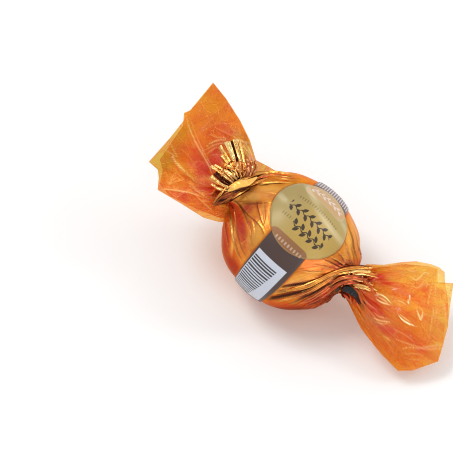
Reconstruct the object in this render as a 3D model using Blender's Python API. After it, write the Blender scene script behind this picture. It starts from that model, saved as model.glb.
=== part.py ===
"""A twist-wrapped chocolate bonbon, in metres, +Z up.

The bonbon is a ball shut inside a film wrapper whose two ends are gathered,
twisted and fanned out into tails. Ball, twisted necks and tails are one
continuous shut pack, so they are one solid: wrapped_bonbon. The wrap-round
label is a separate piece stuck over the film: label.

The origin is the centre of the small flat foot that the ball rests on, and
the two twists stand out along X. Both tails spread out near one plane, the
lay plane, which is tilted back from the horizontal by LAY_TILT and turned
about Z by LAY_TURN. Places on the tails are given in that plane: x to the
right, y up the plane, z square to it, from the ball's centre.
"""

import math

import bmesh
import bpy
import numpy as np

for old in list(bpy.data.objects):
    bpy.data.objects.remove(old, do_unlink=True)

MM = 0.001

# ---- driving sizes ---------------------------------------------------------
BALL_R = 19.0 * MM          # ball over foil and film
FOOT_R = 4.6 * MM           # flat spot that the ball rests on
LAY_TILT = math.radians(35.0)   # lay plane leans back from horizontal
LAY_TURN = math.radians(35.7)   # and is turned, to bring the twists along X
NECK_R = 3.3 * MM           # tightest place of a twist
NECK_OUT = 1.09             # distance of that place from the centre, in radii
STUB_END = 1.20             # end of the twisted bundle, inside the tail
FLARE = math.radians(30.0)  # the film leaves the ball this near to a pole

POLE_LEFT = (-0.767, 0.681, 0.33)    # direction of the left twist, lay plane
POLE_RIGHT = (0.783, -0.550, 0.50)   # direction of the right twist

PLEATS = 17                 # film pleats round each pole
PLEAT_H = 0.42 * MM         # their height on the ball
TWIST = math.radians(75.0)  # how far the pleats wind from ball to neck

LABEL_DIR = (0.294, 0.345, 0.890)    # centre of the label's disc
LABEL_DOWN = math.radians(47.5)      # the strip runs down to the left at this
LABEL_DISC = math.radians(36.0)      # half angle of the disc
LABEL_BAND = math.radians(17.0)      # half angle of the strip's width
LABEL_FROM, LABEL_TO = math.radians(-108.0), math.radians(118.0)
LABEL_GAP = 0.30 * MM
LABEL_T = 0.25 * MM

FILM_EDGE_T = 0.9 * MM      # a tail's thickness over its layers, at the edge
FILM_NECK_T = 3.4 * MM      # and where it leaves the twist
TAIL_WAVE = 1.5 * MM        # height of the folds that run down a tail

# Corners of each tail's outer edge, as (direction from the neck in degrees,
# reach from the neck in mm, height z over the lay plane in mm).
RIGHT_EDGE = [
    (9.0, 23.6, 8.6), (7.0, 26.4, 8.0), (3.0, 27.4, 7.2), (-2.0, 29.5, 6.4),
    (-11.0, 29.4, 6.2), (-21.8, 30.2, 6.4), (-36.5, 32.9, 7.4),
    (-42.4, 34.3, 8.2), (-54.0, 31.0, 8.6), (-60.3, 28.9, 9.0),
]
LEFT_EDGE = [
    (31.0, 11.5, -2.5), (60.5, 10.8, -2.5), (76.5, 15.2, -1.0),
    (88.5, 20.7, -2.0), (102.6, 31.7, -3.0), (113.0, 27.6, -1.2),
    (124.0, 26.2, 1.6), (142.0, 24.4, 3.0), (160.0, 25.8, 4.6),
    (168.0, 22.4, 6.6), (176.0, 21.6, 8.2), (192.0, 18.2, 9.6),
    (206.0, 14.4, 10.4), (236.0, 9.6, 10.2),
]

CENTRE = np.array([0.0, 0.0, math.sqrt(BALL_R**2 - FOOT_R**2)])


def turned(v):
    """A vector turned about Z by LAY_TURN."""
    c, s = math.cos(LAY_TURN), math.sin(LAY_TURN)
    return np.array([c * v[0] - s * v[1], s * v[0] + c * v[1], v[2]])


EX = turned((1.0, 0.0, 0.0))
EY = turned((0.0, math.cos(LAY_TILT), math.sin(LAY_TILT)))
EZ = turned((0.0, -math.sin(LAY_TILT), math.cos(LAY_TILT)))


def lay(x, y, z):
    """A vector given in the lay plane, in the part's own axes."""
    return x * EX + y * EY + z * EZ


def unit(v):
    return v / np.linalg.norm(v)


def smooth(a, b, x):
    t = np.clip((x - a) / (b - a), 0.0, 1.0)
    return t * t * (3.0 - 2.0 * t)


N_LEFT = unit(lay(*POLE_LEFT))
N_RIGHT = unit(lay(*POLE_RIGHT))
LEAN = unit(N_LEFT + N_RIGHT)         # both poles lean towards this side
AXIS = unit(N_RIGHT - N_LEFT)
BETA = float(N_RIGHT @ LEAN)
CROSS = np.cross(AXIS, LEAN)

# The label's own directions: out of the disc, along the strip, and across it.
L_OUT = unit(lay(*LABEL_DIR))
down = lay(-math.cos(LABEL_DOWN), -math.sin(LABEL_DOWN), 0.0)
L_ALONG = unit(down - (down @ L_OUT) * L_OUT)
L_ACROSS = np.cross(L_OUT, L_ALONG)


def label_half_width(along):
    """Half the label's width, as an angle, at this angle along the strip."""
    disc = np.sqrt(np.clip(LABEL_DISC**2 - along**2, 0.0, None))
    return np.maximum(disc, LABEL_BAND)


def outside_label(n):
    """0 under the label, rising to 1 a few degrees outside it."""
    across = np.arcsin(np.clip(n @ L_ACROSS, -1, 1))
    along = np.arctan2(n @ L_ALONG, n @ L_OUT)
    out = np.abs(across) - label_half_width(along)
    past = np.maximum(along - LABEL_TO, LABEL_FROM - along)
    return smooth(math.radians(1.5), math.radians(8.0), np.maximum(out, past))


def ball_direction(theta, phi):
    """Unit vectors over the ball: theta runs from the left pole (0) to the
    right pole (pi), phi round the axis. The grid's rings crowd together on
    the side that both poles lean to."""
    n = (
        -np.cos(theta)[..., None] * AXIS
        + (np.sin(theta) * np.cos(phi))[..., None] * LEAN
        + (np.sin(theta) * np.sin(phi))[..., None] * CROSS
    )
    along = n @ LEAN
    flat = n - along[..., None] * LEAN
    scale = 1.0 + BETA * along
    moved = ((along + BETA) / scale)[..., None] * LEAN + flat * (
        math.sqrt(1 - BETA**2) / scale
    )[..., None]
    return moved / np.linalg.norm(moved, axis=-1, keepdims=True)


def pleat(phase):
    """A fold's section: a slow rise and a quick fall, from 0 to 1."""
    x = np.mod(phase / (2 * math.pi), 1.0)
    return np.where(x < 0.72, x / 0.72, (1.0 - x) / 0.28)


def ball_point(theta, phi):
    """A point of the film over the ball, with the pleats that run into the
    necks and the flat foot."""
    n = ball_direction(theta, phi)
    near = np.minimum(
        np.arccos(np.clip(n @ N_LEFT, -1, 1)), np.arccos(np.clip(n @ N_RIGHT, -1, 1))
    )
    wind = TWIST * np.exp(-near / math.radians(22.0))
    side = np.where(theta < math.pi / 2, -1.0, 1.0)
    reach = 1.0 - smooth(math.radians(34.0), math.radians(72.0), near)
    height = PLEAT_H * reach * outside_label(n) * pleat(PLEATS * (phi + side * wind))
    point = CENTRE + n * (BALL_R + height)[..., None]
    point[..., 2] = np.maximum(point[..., 2], 0.0)
    return point


def neck_ring(pole, theta_pole, out, radius, phi, wind):
    """A ring of the twisted bundle, centred at out radii along the pole."""
    step = 1e-3
    inward = step if theta_pole == 0.0 else -step
    base = ball_direction(np.full_like(phi, theta_pole + inward), phi)
    tangent = base - (base @ pole)[:, None] * pole
    tangent /= np.linalg.norm(tangent, axis=1, keepdims=True)
    lobes = 0.90 + 0.16 * pleat(PLEATS * (phi + wind))
    return CENTRE + pole * BALL_R * out + tangent * (radius * lobes)[:, None]


def mesh_object(name, points, faces, colour, rough, metal):
    mesh = bpy.data.meshes.new(name)
    mesh.from_pydata([tuple(p) for p in points], [], faces)
    bm = bmesh.new()
    bm.from_mesh(mesh)
    bmesh.ops.recalc_face_normals(bm, faces=bm.faces[:])
    bm.to_mesh(mesh)
    bm.free()
    mesh.shade_smooth()
    mesh.set_sharp_from_angle(angle=math.radians(35.0))
    obj = bpy.data.objects.new(name, mesh)
    bpy.context.scene.collection.objects.link(obj)
    material = bpy.data.materials.new(name + "_finish")
    material.use_nodes = True
    shader = material.node_tree.nodes["Principled BSDF"]
    shader.inputs["Base Color"].default_value = (*colour, 1.0)
    shader.inputs["Roughness"].default_value = rough
    shader.inputs["Metallic"].default_value = metal
    mesh.materials.append(material)
    return obj


def skin_of(rings, closed_ends=True):
    """Points and faces of a tube through rings of equal length."""
    count = len(rings[0])
    points = [p for ring in rings for p in ring]
    faces = []
    for i in range(len(rings) - 1):
        for j in range(count):
            k = (j + 1) % count
            faces.append(
                (i * count + j, i * count + k, (i + 1) * count + k, (i + 1) * count + j)
            )
    if closed_ends:
        for first in (0, (len(rings) - 1) * count):
            points.append(np.mean(points[first : first + count], axis=0))
            hub = len(points) - 1
            for j in range(count):
                faces.append((hub, first + j, first + (j + 1) % count))
    return points, faces


def wrapped_ball():
    """The ball with a short twisted bundle standing out at each pole."""
    columns, neck_rings, ball_rings = 68, 6, 26
    phi = np.linspace(0, 2 * math.pi, columns, endpoint=False)
    flare = FLARE * 0.82      # in the grid's own angle
    rings = []
    for pole, theta_pole, sign in ((N_LEFT, 0.0, 1.0), (N_RIGHT, math.pi, -1.0)):
        part = []
        for i in range(neck_rings):
            q = i / neck_rings          # 0 at the bundle's end, 1 on the ball
            out = STUB_END + (0.93 - STUB_END) * q
            tight = abs(out - NECK_OUT)
            radius = NECK_R + 9.0 * MM * tight**1.5
            wind = -sign * TWIST * (1.0 + 0.5 * (1 - q))
            ring = neck_ring(pole, theta_pole, out, radius, phi, wind)
            theta = theta_pole + sign * flare * max(q, 0.02)
            on_ball = ball_point(np.full_like(phi, theta), phi)
            mix = smooth(0.45, 1.0, q)
            part.append(ring * (1 - mix) + on_ball * mix)
        rings.append(part)
    middle = [
        ball_point(np.full_like(phi, t), phi)
        for t in np.linspace(flare, math.pi - flare, ball_rings)
    ]
    points, faces = skin_of(rings[0] + middle + rings[1][::-1])
    return mesh_object(
        "wrapped_bonbon", points, faces, (0.80, 0.36, 0.06), 0.28, 0.75
    )


def edge_path(corners, neck, count):
    """Evenly spaced points along a tail's outer edge."""
    place = np.array(
        [
            lay(
                reach * MM * math.cos(math.radians(angle)),
                reach * MM * math.sin(math.radians(angle)),
                0.0,
            )
            + neck
            + EZ * (z * MM - (neck - CENTRE) @ EZ)
            for angle, reach, z in corners
        ]
    )
    steps = np.linalg.norm(np.diff(place, axis=0), axis=1)
    run = np.concatenate([[0.0], np.cumsum(steps)])
    at = np.linspace(0.0, run[-1], count)
    return np.stack([np.interp(at, run, place[:, i]) for i in range(3)], axis=1)


def tail(name, corners, pole, folds, count, rows):
    """A flattened, folded fan: a closed slab of film from the neck out to the
    outer edge, with folds that run from the neck to the edge."""
    neck = CENTRE + pole * BALL_R * NECK_OUT
    edge = edge_path(corners, neck, count)
    away = edge - neck
    flat = away - (away @ EZ)[:, None] * EZ
    start = neck + pole * BALL_R * 0.03 + flat / np.linalg.norm(flat, axis=1, keepdims=True) * NECK_R * 0.45
    fold = pleat(2 * math.pi * folds * np.linspace(0, 1, count)) - 0.5
    rings = []
    for i in range(rows):
        t = i / (rows - 1)
        middle = start + (edge - start) * t
        wave = TAIL_WAVE * min(1.0, 0.25 + 2.2 * t) * (1.0 - 0.35 * t)
        thick = FILM_NECK_T + (FILM_EDGE_T - FILM_NECK_T) * t**0.6
        lift = (wave * fold)[:, None] * EZ
        front = middle + lift + EZ * thick / 2
        back = middle + lift - EZ * thick / 2
        rings.append(np.concatenate([front, back[::-1]]))
    columns = 2 * count
    points = [p for ring in rings for p in ring]
    faces = []
    for i in range(rows - 1):
        for j in range(columns):
            k = (j + 1) % columns
            faces.append(
                (
                    i * columns + j,
                    i * columns + k,
                    (i + 1) * columns + k,
                    (i + 1) * columns + j,
                )
            )
    for first in (0, (rows - 1) * columns):
        for j in range(count - 1):
            faces.append(
                (
                    first + j,
                    first + j + 1,
                    first + columns - 2 - j,
                    first + columns - 1 - j,
                )
            )
    fan = mesh_object(name, points, faces, (0.85, 0.30, 0.04), 0.2, 0.0)
    fan.hide_render = True
    fan.display_type = "WIRE"
    return fan


def label():
    """The wrap-round label: a disc with a strip on either side, curved over
    the ball just outside the film."""
    rows, columns = 49, 6
    along = np.linspace(LABEL_FROM, LABEL_TO, rows)
    # rows fall on the two places where the disc's rim meets the strip
    meet = math.sqrt(LABEL_DISC**2 - LABEL_BAND**2)
    for place in (-meet, meet):
        along[np.argmin(np.abs(along - place))] = place
    across = np.linspace(-1, 1, columns)
    layers = []
    for radius in (BALL_R + LABEL_GAP, BALL_R + LABEL_GAP + LABEL_T):
        for a in along:
            b = across * float(label_half_width(a))
            n = (
                np.cos(b)[:, None] * (math.cos(a) * L_OUT + math.sin(a) * L_ALONG)
                + np.sin(b)[:, None] * L_ACROSS
            )
            layers.append(CENTRE + n * radius)
    points = [p for row in layers for p in row]
    faces = []
    half = rows * columns
    for i in range(rows - 1):
        for j in range(columns - 1):
            a, b = i * columns + j, i * columns + j + 1
            c, d = b + columns, a + columns
            faces.append((a, b, c, d))
            faces.append((a + half, d + half, c + half, b + half))
    rim = (
        [j for j in range(columns)]
        + [i * columns + columns - 1 for i in range(1, rows)]
        + [(rows - 1) * columns + j for j in range(columns - 2, -1, -1)]
        + [i * columns for i in range(rows - 2, 0, -1)]
    )
    for i, a in enumerate(rim):
        b = rim[(i + 1) % len(rim)]
        faces.append((a, b, b + half, a + half))
    return mesh_object("label", points, faces, (0.60, 0.50, 0.26), 0.3, 0.2)


body = wrapped_ball()
for fan in (
    tail("tail_left_shape", LEFT_EDGE, N_LEFT, 9, 40, 8),
    tail("tail_right_shape", RIGHT_EDGE, N_RIGHT, 7, 32, 8),
):
    join = body.modifiers.new("join_" + fan.name, "BOOLEAN")
    join.operation = "UNION"
    join.solver = "EXACT"
    join.object = fan
label()
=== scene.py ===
"""The looks of a twist-wrapped chocolate bonbon: the film-covered ball with its
pleats, the twisted necks, the tails of clear orange film, the gold foil in
them, and the printed label.

All shapes are worked out in the lay plane, in millimetres from the ball's
centre: x right, y up the plane, z square to it. The camera looks straight down
on that plane. spot(x, y) turns a place in the 453 x 453 frame into the plane.
"""
import math

import bpy
import numpy as np
from mathutils import Matrix
from mathutils.geometry import delaunay_2d_cdt

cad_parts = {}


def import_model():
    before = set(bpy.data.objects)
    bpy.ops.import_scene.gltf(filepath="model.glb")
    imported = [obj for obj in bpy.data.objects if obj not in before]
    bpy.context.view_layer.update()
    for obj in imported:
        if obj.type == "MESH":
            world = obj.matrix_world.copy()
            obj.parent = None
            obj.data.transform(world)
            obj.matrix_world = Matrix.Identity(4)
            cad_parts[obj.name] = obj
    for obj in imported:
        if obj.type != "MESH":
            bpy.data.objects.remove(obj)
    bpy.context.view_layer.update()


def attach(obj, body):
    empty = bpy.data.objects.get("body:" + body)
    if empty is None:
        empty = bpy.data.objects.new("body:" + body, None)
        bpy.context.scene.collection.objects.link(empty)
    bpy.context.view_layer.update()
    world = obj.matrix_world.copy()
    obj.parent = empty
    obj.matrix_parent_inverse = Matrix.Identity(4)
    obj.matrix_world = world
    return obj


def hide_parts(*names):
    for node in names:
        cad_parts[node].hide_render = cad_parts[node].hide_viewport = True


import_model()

# ---- sizes shared with the CAD, in mm ---------------------------------------
R = 19.0
FOOT = 4.6
NECK_OUT = 1.09
LAY_TILT, LAY_TURN = math.radians(35.0), math.radians(35.7)
LABEL_DISC = math.radians(36.0)
LABEL_FROM, LABEL_TO = math.radians(-108.0), math.radians(118.0)
STRIP_LOW, STRIP_HIGH = 0.300, 0.338   # the strip's half widths, in radians
PX = 3.63                  # pixels of the frame for 1 mm at the ball
BALL_AT = (291.0, 241.0)   # the ball's centre in the frame


def unit(v):
    v = np.asarray(v, float)
    return v / np.linalg.norm(v, axis=-1, keepdims=True)


def smooth(a, b, x):
    t = np.clip((np.asarray(x, float) - a) / (b - a), 0.0, 1.0)
    return t * t * (3.0 - 2.0 * t)


def turned(v):
    c, s = math.cos(LAY_TURN), math.sin(LAY_TURN)
    return np.array([c * v[0] - s * v[1], s * v[0] + c * v[1], v[2]])


LAY = np.array(
    [
        turned((1.0, 0.0, 0.0)),
        turned((0.0, math.cos(LAY_TILT), math.sin(LAY_TILT))),
        turned((0.0, -math.sin(LAY_TILT), math.cos(LAY_TILT))),
    ]
)
CENTRE = np.array([0.0, 0.0, math.sqrt(R * R - FOOT * FOOT)])
DOWN = -LAY[:, 2]          # straight down, in the lay plane's axes


def world(p):
    """Lay-plane millimetres to the row frame's metres."""
    return (np.asarray(p) @ LAY + CENTRE) * 0.001


def spot(x, y, z=0.0):
    """A place of the frame, in the lay plane."""
    return np.array([(x - BALL_AT[0]) / PX, (BALL_AT[1] - y) / PX, z])


def on_ball(x, y):
    """The direction of the ball's surface under a place of the frame."""
    n = spot(x, y) / R
    n[2] = math.sqrt(max(1e-4, 1.0 - n[0] ** 2 - n[1] ** 2))
    return unit(n)


POLE_LEFT = unit((-0.767, 0.681, 0.33))
POLE_RIGHT = unit((0.783, -0.550, 0.50))
LEAN = unit(POLE_LEFT + POLE_RIGHT)
AXIS = unit(POLE_RIGHT - POLE_LEFT)
BETA = float(POLE_RIGHT @ LEAN)
CROSS = np.cross(AXIS, LEAN)
L_OUT = unit((0.294, 0.345, 0.890))
_down = np.array([-math.cos(math.radians(47.5)), -math.sin(math.radians(47.5)), 0.0])
L_ALONG = unit(_down - (_down @ L_OUT) * L_OUT)
L_ACROSS = np.cross(L_OUT, L_ALONG)
# where round the view the wrapped ball is flatter or, below 0, fuller: the
# angle, how much, over what angle, and the fade
FLAT_SIDES = (
    (-137.0, 0.034, 8.0, 40.0), (46.0, 0.062, 18.0, 32.0), (-164.0, -0.022, 2.0, 18.0),
    (-66.0, -0.024, 5.0, 16.0), (-19.0, -0.050, 2.0, 15.0), (114.0, -0.050, 4.0, 18.0),
)
NECK_RIGHT = POLE_RIGHT * R * NECK_OUT * 1.04
NECK_LEFT = POLE_LEFT * R * NECK_OUT * 1.04


def pole_frame(pole):
    """Two directions square to a pole: towards the camera, and on round."""
    front = unit(np.array([0.0, 0.0, 1.0]) - pole[2] * pole)
    return front, np.cross(pole, front)


def pulled_in(n):
    """The ball is flatter where the strip is pulled round it, low on the left
    and high on the right."""
    turn = np.arctan2(n[..., 1], n[..., 0])
    rise = np.abs(np.arcsin(np.clip(n[..., 2], -1, 1)))
    total = np.ones(n.shape[:-1])
    for middle, amount, flat, fade in FLAT_SIDES:
        off = np.abs(np.mod(turn - math.radians(middle) + math.pi, 2 * math.pi) - math.pi)
        across = np.clip((off - math.radians(flat)) / math.radians(fade), 0, 2)
        along_ = np.clip((rise - math.radians(8)) / math.radians(40), 0, 2)
        total -= amount * (1 - smooth(0, 1, np.hypot(across, along_)))
    return total


def surface(x, y, extra=0.0):
    """A point on the front of the ball or of a neck, under a place of the
    frame, raised by extra."""
    p = spot(x, y)
    best = -1.0
    for _ in range(3):
        full = R * float(pulled_in(unit(np.array([p[0], p[1], max(best, 0.5)]))))
        best = math.sqrt(max(0.0, full * full - p[0] ** 2 - p[1] ** 2))
    for pole in (POLE_LEFT, POLE_RIGHT):
        a, b = pole * 16.5, pole * 24.0
        span = (b - a)[:2]
        t = min(1.0, max(0.0, float((p[:2] - a[:2]) @ span / (span @ span))))
        far = np.linalg.norm(p[:2] - a[:2] - t * span)
        radius = 4.4 - 0.9 * t
        if far < radius:
            best = max(best, a[2] + t * (b[2] - a[2]) + math.sqrt(radius**2 - far**2))
    p[2] = best + extra
    return p


# ---- small tools --------------------------------------------------------------
def along(points, count, keep=False):
    """Points at even steps along a polyline."""
    points = np.asarray(points, float)
    run = np.concatenate(
        [[0.0], np.cumsum(np.linalg.norm(np.diff(points, axis=0), axis=1))]
    )
    at = np.linspace(0.0, run[-1], count)
    if keep:                     # every corner falls on a point
        for place in run[1:-1]:
            at[1 + np.argmin(np.abs(at[1:-1] - place))] = place
        at = np.sort(at)
    return np.stack([np.interp(at, run, points[:, i]) for i in range(points.shape[1])], 1)


def curve(points, count):
    """A smooth Catmull-Rom curve through a few points."""
    p = np.asarray(points, float)
    p = np.vstack([2 * p[0] - p[1], p, 2 * p[-1] - p[-2]])
    out = []
    segments = len(p) - 3
    for i in range(segments):
        a, b, c, d = p[i : i + 4]
        t = np.linspace(0, 1, 24, endpoint=i == segments - 1)[:, None]
        out.append(
            0.5
            * (
                2 * b
                + (c - a) * t
                + (2 * a - 5 * b + 4 * c - d) * t**2
                + (3 * b - a - 3 * c + d) * t**3
            )
        )
    return along(np.vstack(out), count)


def facets(u, v, size, count, seed):
    """Creased flat facets over a sheet of the given size in mm: the facets'
    heights, -1 to 1, and how close each point is to a sharp crease, 0 to 1."""
    rng = np.random.default_rng(seed)
    size = np.array(size, float)
    pts = rng.uniform(-0.08, 1.08, (count, 2)) * size
    pts = np.vstack([pts, np.array([[-0.2, -0.2], [1.2, -0.2], [-0.2, 1.2], [1.2, 1.2]]) * size])
    height = rng.uniform(-1, 1, len(pts))
    verts, _, faces, orig, _, _ = delaunay_2d_cdt(
        [(float(a), float(b)) for a, b in pts], [], [], 0, 1e-6
    )
    h = np.array([height[o[0]] if o else 0.0 for o in orig])
    xy = np.array([tuple(q) for q in verts])
    x, y = u.ravel() * size[0], v.ravel() * size[1]
    slopes, sides = [], {}
    for k, tri in enumerate(faces):
        a, b, c = tri
        m = np.array([xy[b] - xy[a], xy[c] - xy[a]])
        det = abs(np.linalg.det(m))
        slopes.append(np.linalg.solve(m, [h[b] - h[a], h[c] - h[a]]) if det > 1e-6 else np.zeros(2))
        for i in range(3):
            sides.setdefault(tuple(sorted((tri[i], tri[(i + 1) % 3]))), []).append(k)
    bends = {
        pair: np.linalg.norm(slopes[ks[0]] - slopes[ks[1]]) if len(ks) == 2 else 0.0
        for pair, ks in sides.items()
    }
    typical = np.median(list(bends.values())) + 1e-9
    out, near = np.zeros(x.size), np.zeros(x.size)
    for tri in faces:
        a, b, c = xy[tri[0]], xy[tri[1]], xy[tri[2]]
        lo, hi = np.minimum(np.minimum(a, b), c), np.maximum(np.maximum(a, b), c)
        idx = np.nonzero((x >= lo[0]) & (x <= hi[0]) & (y >= lo[1]) & (y <= hi[1]))[0]
        if not idx.size:
            continue
        det = (b[1] - c[1]) * (a[0] - c[0]) + (c[0] - b[0]) * (a[1] - c[1])
        if abs(det) < 1e-9:
            continue
        px, py = x[idx] - c[0], y[idx] - c[1]
        w0 = ((b[1] - c[1]) * px + (c[0] - b[0]) * py) / det
        w1 = ((c[1] - a[1]) * px + (a[0] - c[0]) * py) / det
        w = np.stack([w0, w1, 1 - w0 - w1])
        ok = (w >= -1e-9).all(0)
        idx, w = idx[ok], w[:, ok]
        out[idx] = w[0] * h[tri[0]] + w[1] * h[tri[1]] + w[2] * h[tri[2]]
        for i in range(3):
            pair = tuple(sorted((tri[(i + 1) % 3], tri[(i + 2) % 3])))
            length = np.linalg.norm(xy[pair[0]] - xy[pair[1]])
            strength = min(1.0, max(0.0, (bends[pair] / typical - 0.7) / 1.6))
            far = w[i] * abs(det) / (length + 1e-9)
            near[idx] = np.maximum(near[idx], strength * np.exp(-((far / 0.17) ** 2)))
    return out.reshape(u.shape), near.reshape(u.shape)


def mesh_piece(name, grids, material, wrap=False, ends=False, uv=None):
    """One mesh from grids of lay-plane points, each (points, attributes)."""
    verts, quads, values, first = [], [], {}, 0
    for points, attributes in grids:
        rows, cols = points.shape[:2]
        index = first + np.arange(rows * cols).reshape(rows, cols)
        first += rows * cols
        if wrap:
            index = np.hstack([index, index[:, :1]])
        a, b = index[:-1, :-1].ravel(), index[:-1, 1:].ravel()
        c, d = index[1:, 1:].ravel(), index[1:, :-1].ravel()
        quads += np.stack([a, b, c, d], 1).tolist()
        if ends:
            quads += [index[0, :cols].tolist(), index[-1, :cols][::-1].tolist()]
        verts.append(points.reshape(-1, 3))
        for key, value in attributes.items():
            values.setdefault(key, []).append(
                value.reshape(-1, 3) if value.ndim == 3 else np.clip(value, 0, 1).ravel()
            )
    mesh = bpy.data.meshes.new(name)
    mesh.from_pydata(world(np.vstack(verts)).tolist(), [], quads)
    for key, parts in values.items():
        data = np.concatenate(parts).astype(np.float32)
        kind, field = ("FLOAT_VECTOR", "vector") if data.ndim == 2 else ("FLOAT", "value")
        layer = mesh.attributes.new(key, kind, "POINT")
        layer.data.foreach_set(field, data.ravel())
    if uv is not None:
        layer = mesh.uv_layers.new(name="UVMap")
        loops = np.empty(len(mesh.loops), np.int32)
        mesh.loops.foreach_get("vertex_index", loops)
        layer.data.foreach_set("uv", uv.reshape(-1, 2)[loops].ravel().astype(np.float32))
    mesh.shade_smooth()
    obj = bpy.data.objects.new(name, mesh)
    bpy.context.scene.collection.objects.link(obj)
    mesh.materials.append(material)
    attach(obj, "root")
    return obj


def patch(x, y, places, twist=0.0):
    """Soft oval patches on the lay plane, each (frame x, frame y, half length,
    half width in frame pixels, turn in degrees, amount)."""
    total = np.zeros(np.shape(x))
    for cx, cy, long_, wide, turn, amount in places:
        p = spot(cx, cy)
        c, s = math.cos(math.radians(turn)), math.sin(math.radians(turn))
        dx, dy = x - p[0], y - p[1]
        a = (c * dx + s * dy) * PX / long_
        b = (c * dy - s * dx) * PX / wide
        total = np.maximum(total, amount * np.exp(-((a * a + b * b) ** 1.4)))
    return total


# ---- materials ------------------------------------------------------------------
class Nodes:
    """A small helper to wire a material's nodes."""

    def __init__(self, name):
        self.material = bpy.data.materials.new(name)
        self.material.use_nodes = True
        self.tree = self.material.node_tree
        self.shader = self.tree.nodes["Principled BSDF"]
        self.output = self.tree.nodes["Material Output"]

    def node(self, kind, links=None, **settings):
        made = self.tree.nodes.new(kind)
        for key, value in settings.items():
            setattr(made, key, value)
        for key, value in (links or {}).items():
            self.put(made.inputs[key], value)
        return made

    def put(self, socket, value):
        if isinstance(value, bpy.types.NodeSocket):
            self.tree.links.new(value, socket)
        else:
            socket.default_value = value

    def math(self, operation, a, b=0.0, c=0.0, clamp=False):
        made = self.node("ShaderNodeMath", operation=operation, use_clamp=clamp)
        for i, value in enumerate((a, b, c)):
            self.put(made.inputs[i], value)
        return made.outputs[0]

    def mix(self, factor, a, b, blend="MIX"):
        made = self.node("ShaderNodeMix", data_type="RGBA", blend_type=blend)
        self.put(made.inputs[0], factor)
        self.put(made.inputs[6], a)
        self.put(made.inputs[7], b)
        return made.outputs[2]

    def noise(self, scale, detail=3.0, rough=0.5, vector=None, distortion=0.0):
        made = self.node("ShaderNodeTexNoise")
        self.put(made.inputs["Scale"], scale)
        self.put(made.inputs["Detail"], detail)
        self.put(made.inputs["Roughness"], rough)
        self.put(made.inputs["Distortion"], distortion)
        if vector is None:
            vector = self.place()
        self.put(made.inputs["Vector"], vector)
        return made.outputs["Fac"]

    def place(self):
        """Object coordinates, which are the row frame's metres."""
        if not hasattr(self, "_place"):
            self._place = self.node("ShaderNodeTexCoord").outputs["Object"]
        return self._place

    def attribute(self, key):
        return self.node("ShaderNodeAttribute", attribute_name=key).outputs["Fac"]

    def step(self, value, low, high):
        made = self.node("ShaderNodeMapRange", interpolation_type="SMOOTHSTEP")
        self.put(made.inputs["Value"], value)
        self.put(made.inputs["From Min"], low)
        self.put(made.inputs["From Max"], high)
        return made.outputs[0]

    def bump(self, height, strength, distance):
        made = self.node("ShaderNodeBump")
        made.inputs["Strength"].default_value = strength
        made.inputs["Distance"].default_value = distance
        self.put(made.inputs["Height"], height)
        self.put(self.shader.inputs["Normal"], made.outputs[0])
        return made.outputs[0]

    def set(self, **values):
        for key, value in values.items():
            self.put(self.shader.inputs[key.replace("_", " ")], value)


def wrapper_material():
    """Orange film lying on gold foil: metallic, redder where it lies bunched in
    many layers and where shade is painted as redder film, with painted shade
    dark down in the folds, painted highlights of pale gold along their crests,
    and fine pleats that run into the necks."""
    m = Nodes("film_over_foil")
    red = m.attribute("gathered_and_shading")
    dark = m.attribute("crease")
    glint = m.attribute("glint")
    pull = m.attribute("pull")
    pleat = m.node("ShaderNodeAttribute", attribute_name="pleat").outputs["Vector"]
    streak = m.noise(1.0, 4.0, 0.62, vector=pleat, distortion=0.3)
    drift = m.noise(130.0, 4.0, 0.6)
    blush = m.noise(210.0, 4.0, 0.65, distortion=0.5)
    gold = m.mix(m.step(drift, 0.36, 0.66), (0.70, 0.215, 0.028, 1), (0.86, 0.36, 0.046, 1))
    # the fine pleats' streaks: painted shade, darker and redder, in the low ones, and a painted highlight on the high
    # ones
    low = m.math("MULTIPLY", m.step(streak, 0.50, 0.36), pull)
    high = m.math("MULTIPLY", m.step(streak, 0.54, 0.68), pull)
    red = m.math("MULTIPLY_ADD", m.step(blush, 0.50, 0.72), 0.40, red, clamp=True)
    red = m.math("MULTIPLY_ADD", low, 0.60, red, clamp=True)
    deep = m.math("MULTIPLY", m.math("MULTIPLY", low, pull), m.step(streak, 0.44, 0.35))
    dark = m.math("MULTIPLY_ADD", deep, 1.0, dark, clamp=True)
    glint = m.math("MULTIPLY_ADD", high, 0.38, glint, clamp=True)
    # redder film, then a painted highlight of pale gold, then painted shade in the folds
    colour = m.mix(red, gold, (0.56, 0.062, 0.036, 1))
    colour = m.mix(glint, colour, (1.0, 0.65, 0.17, 1))
    colour = m.mix(dark, colour, (0.034, 0.011, 0.008, 1))
    fine = m.noise(900.0, 5.0, 0.62, distortion=0.6)
    crinkle = m.node(
        "ShaderNodeTexVoronoi", {"Scale": 260.0, "Vector": m.place()}, feature="DISTANCE_TO_EDGE"
    ).outputs["Distance"]
    m.set(
        Base_Color=colour,
        Metallic=m.math("MULTIPLY_ADD", m.attribute("slack"), -0.60, 0.90),
        Roughness=m.math("MULTIPLY_ADD", fine, 0.14, 0.23),
        Specular_Tint=(0.95, 0.42, 0.14, 1),
        Coat_Weight=0.05,
        Coat_Roughness=0.10,
        Coat_IOR=1.45,
    )
    height = m.math("ADD", fine, m.math("MULTIPLY", crinkle, 1.2))
    height = m.math("MULTIPLY_ADD", m.math("MULTIPLY", streak, pull), 2.2, height)
    m.bump(height, 0.12, 0.0006)
    return m.material


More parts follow.
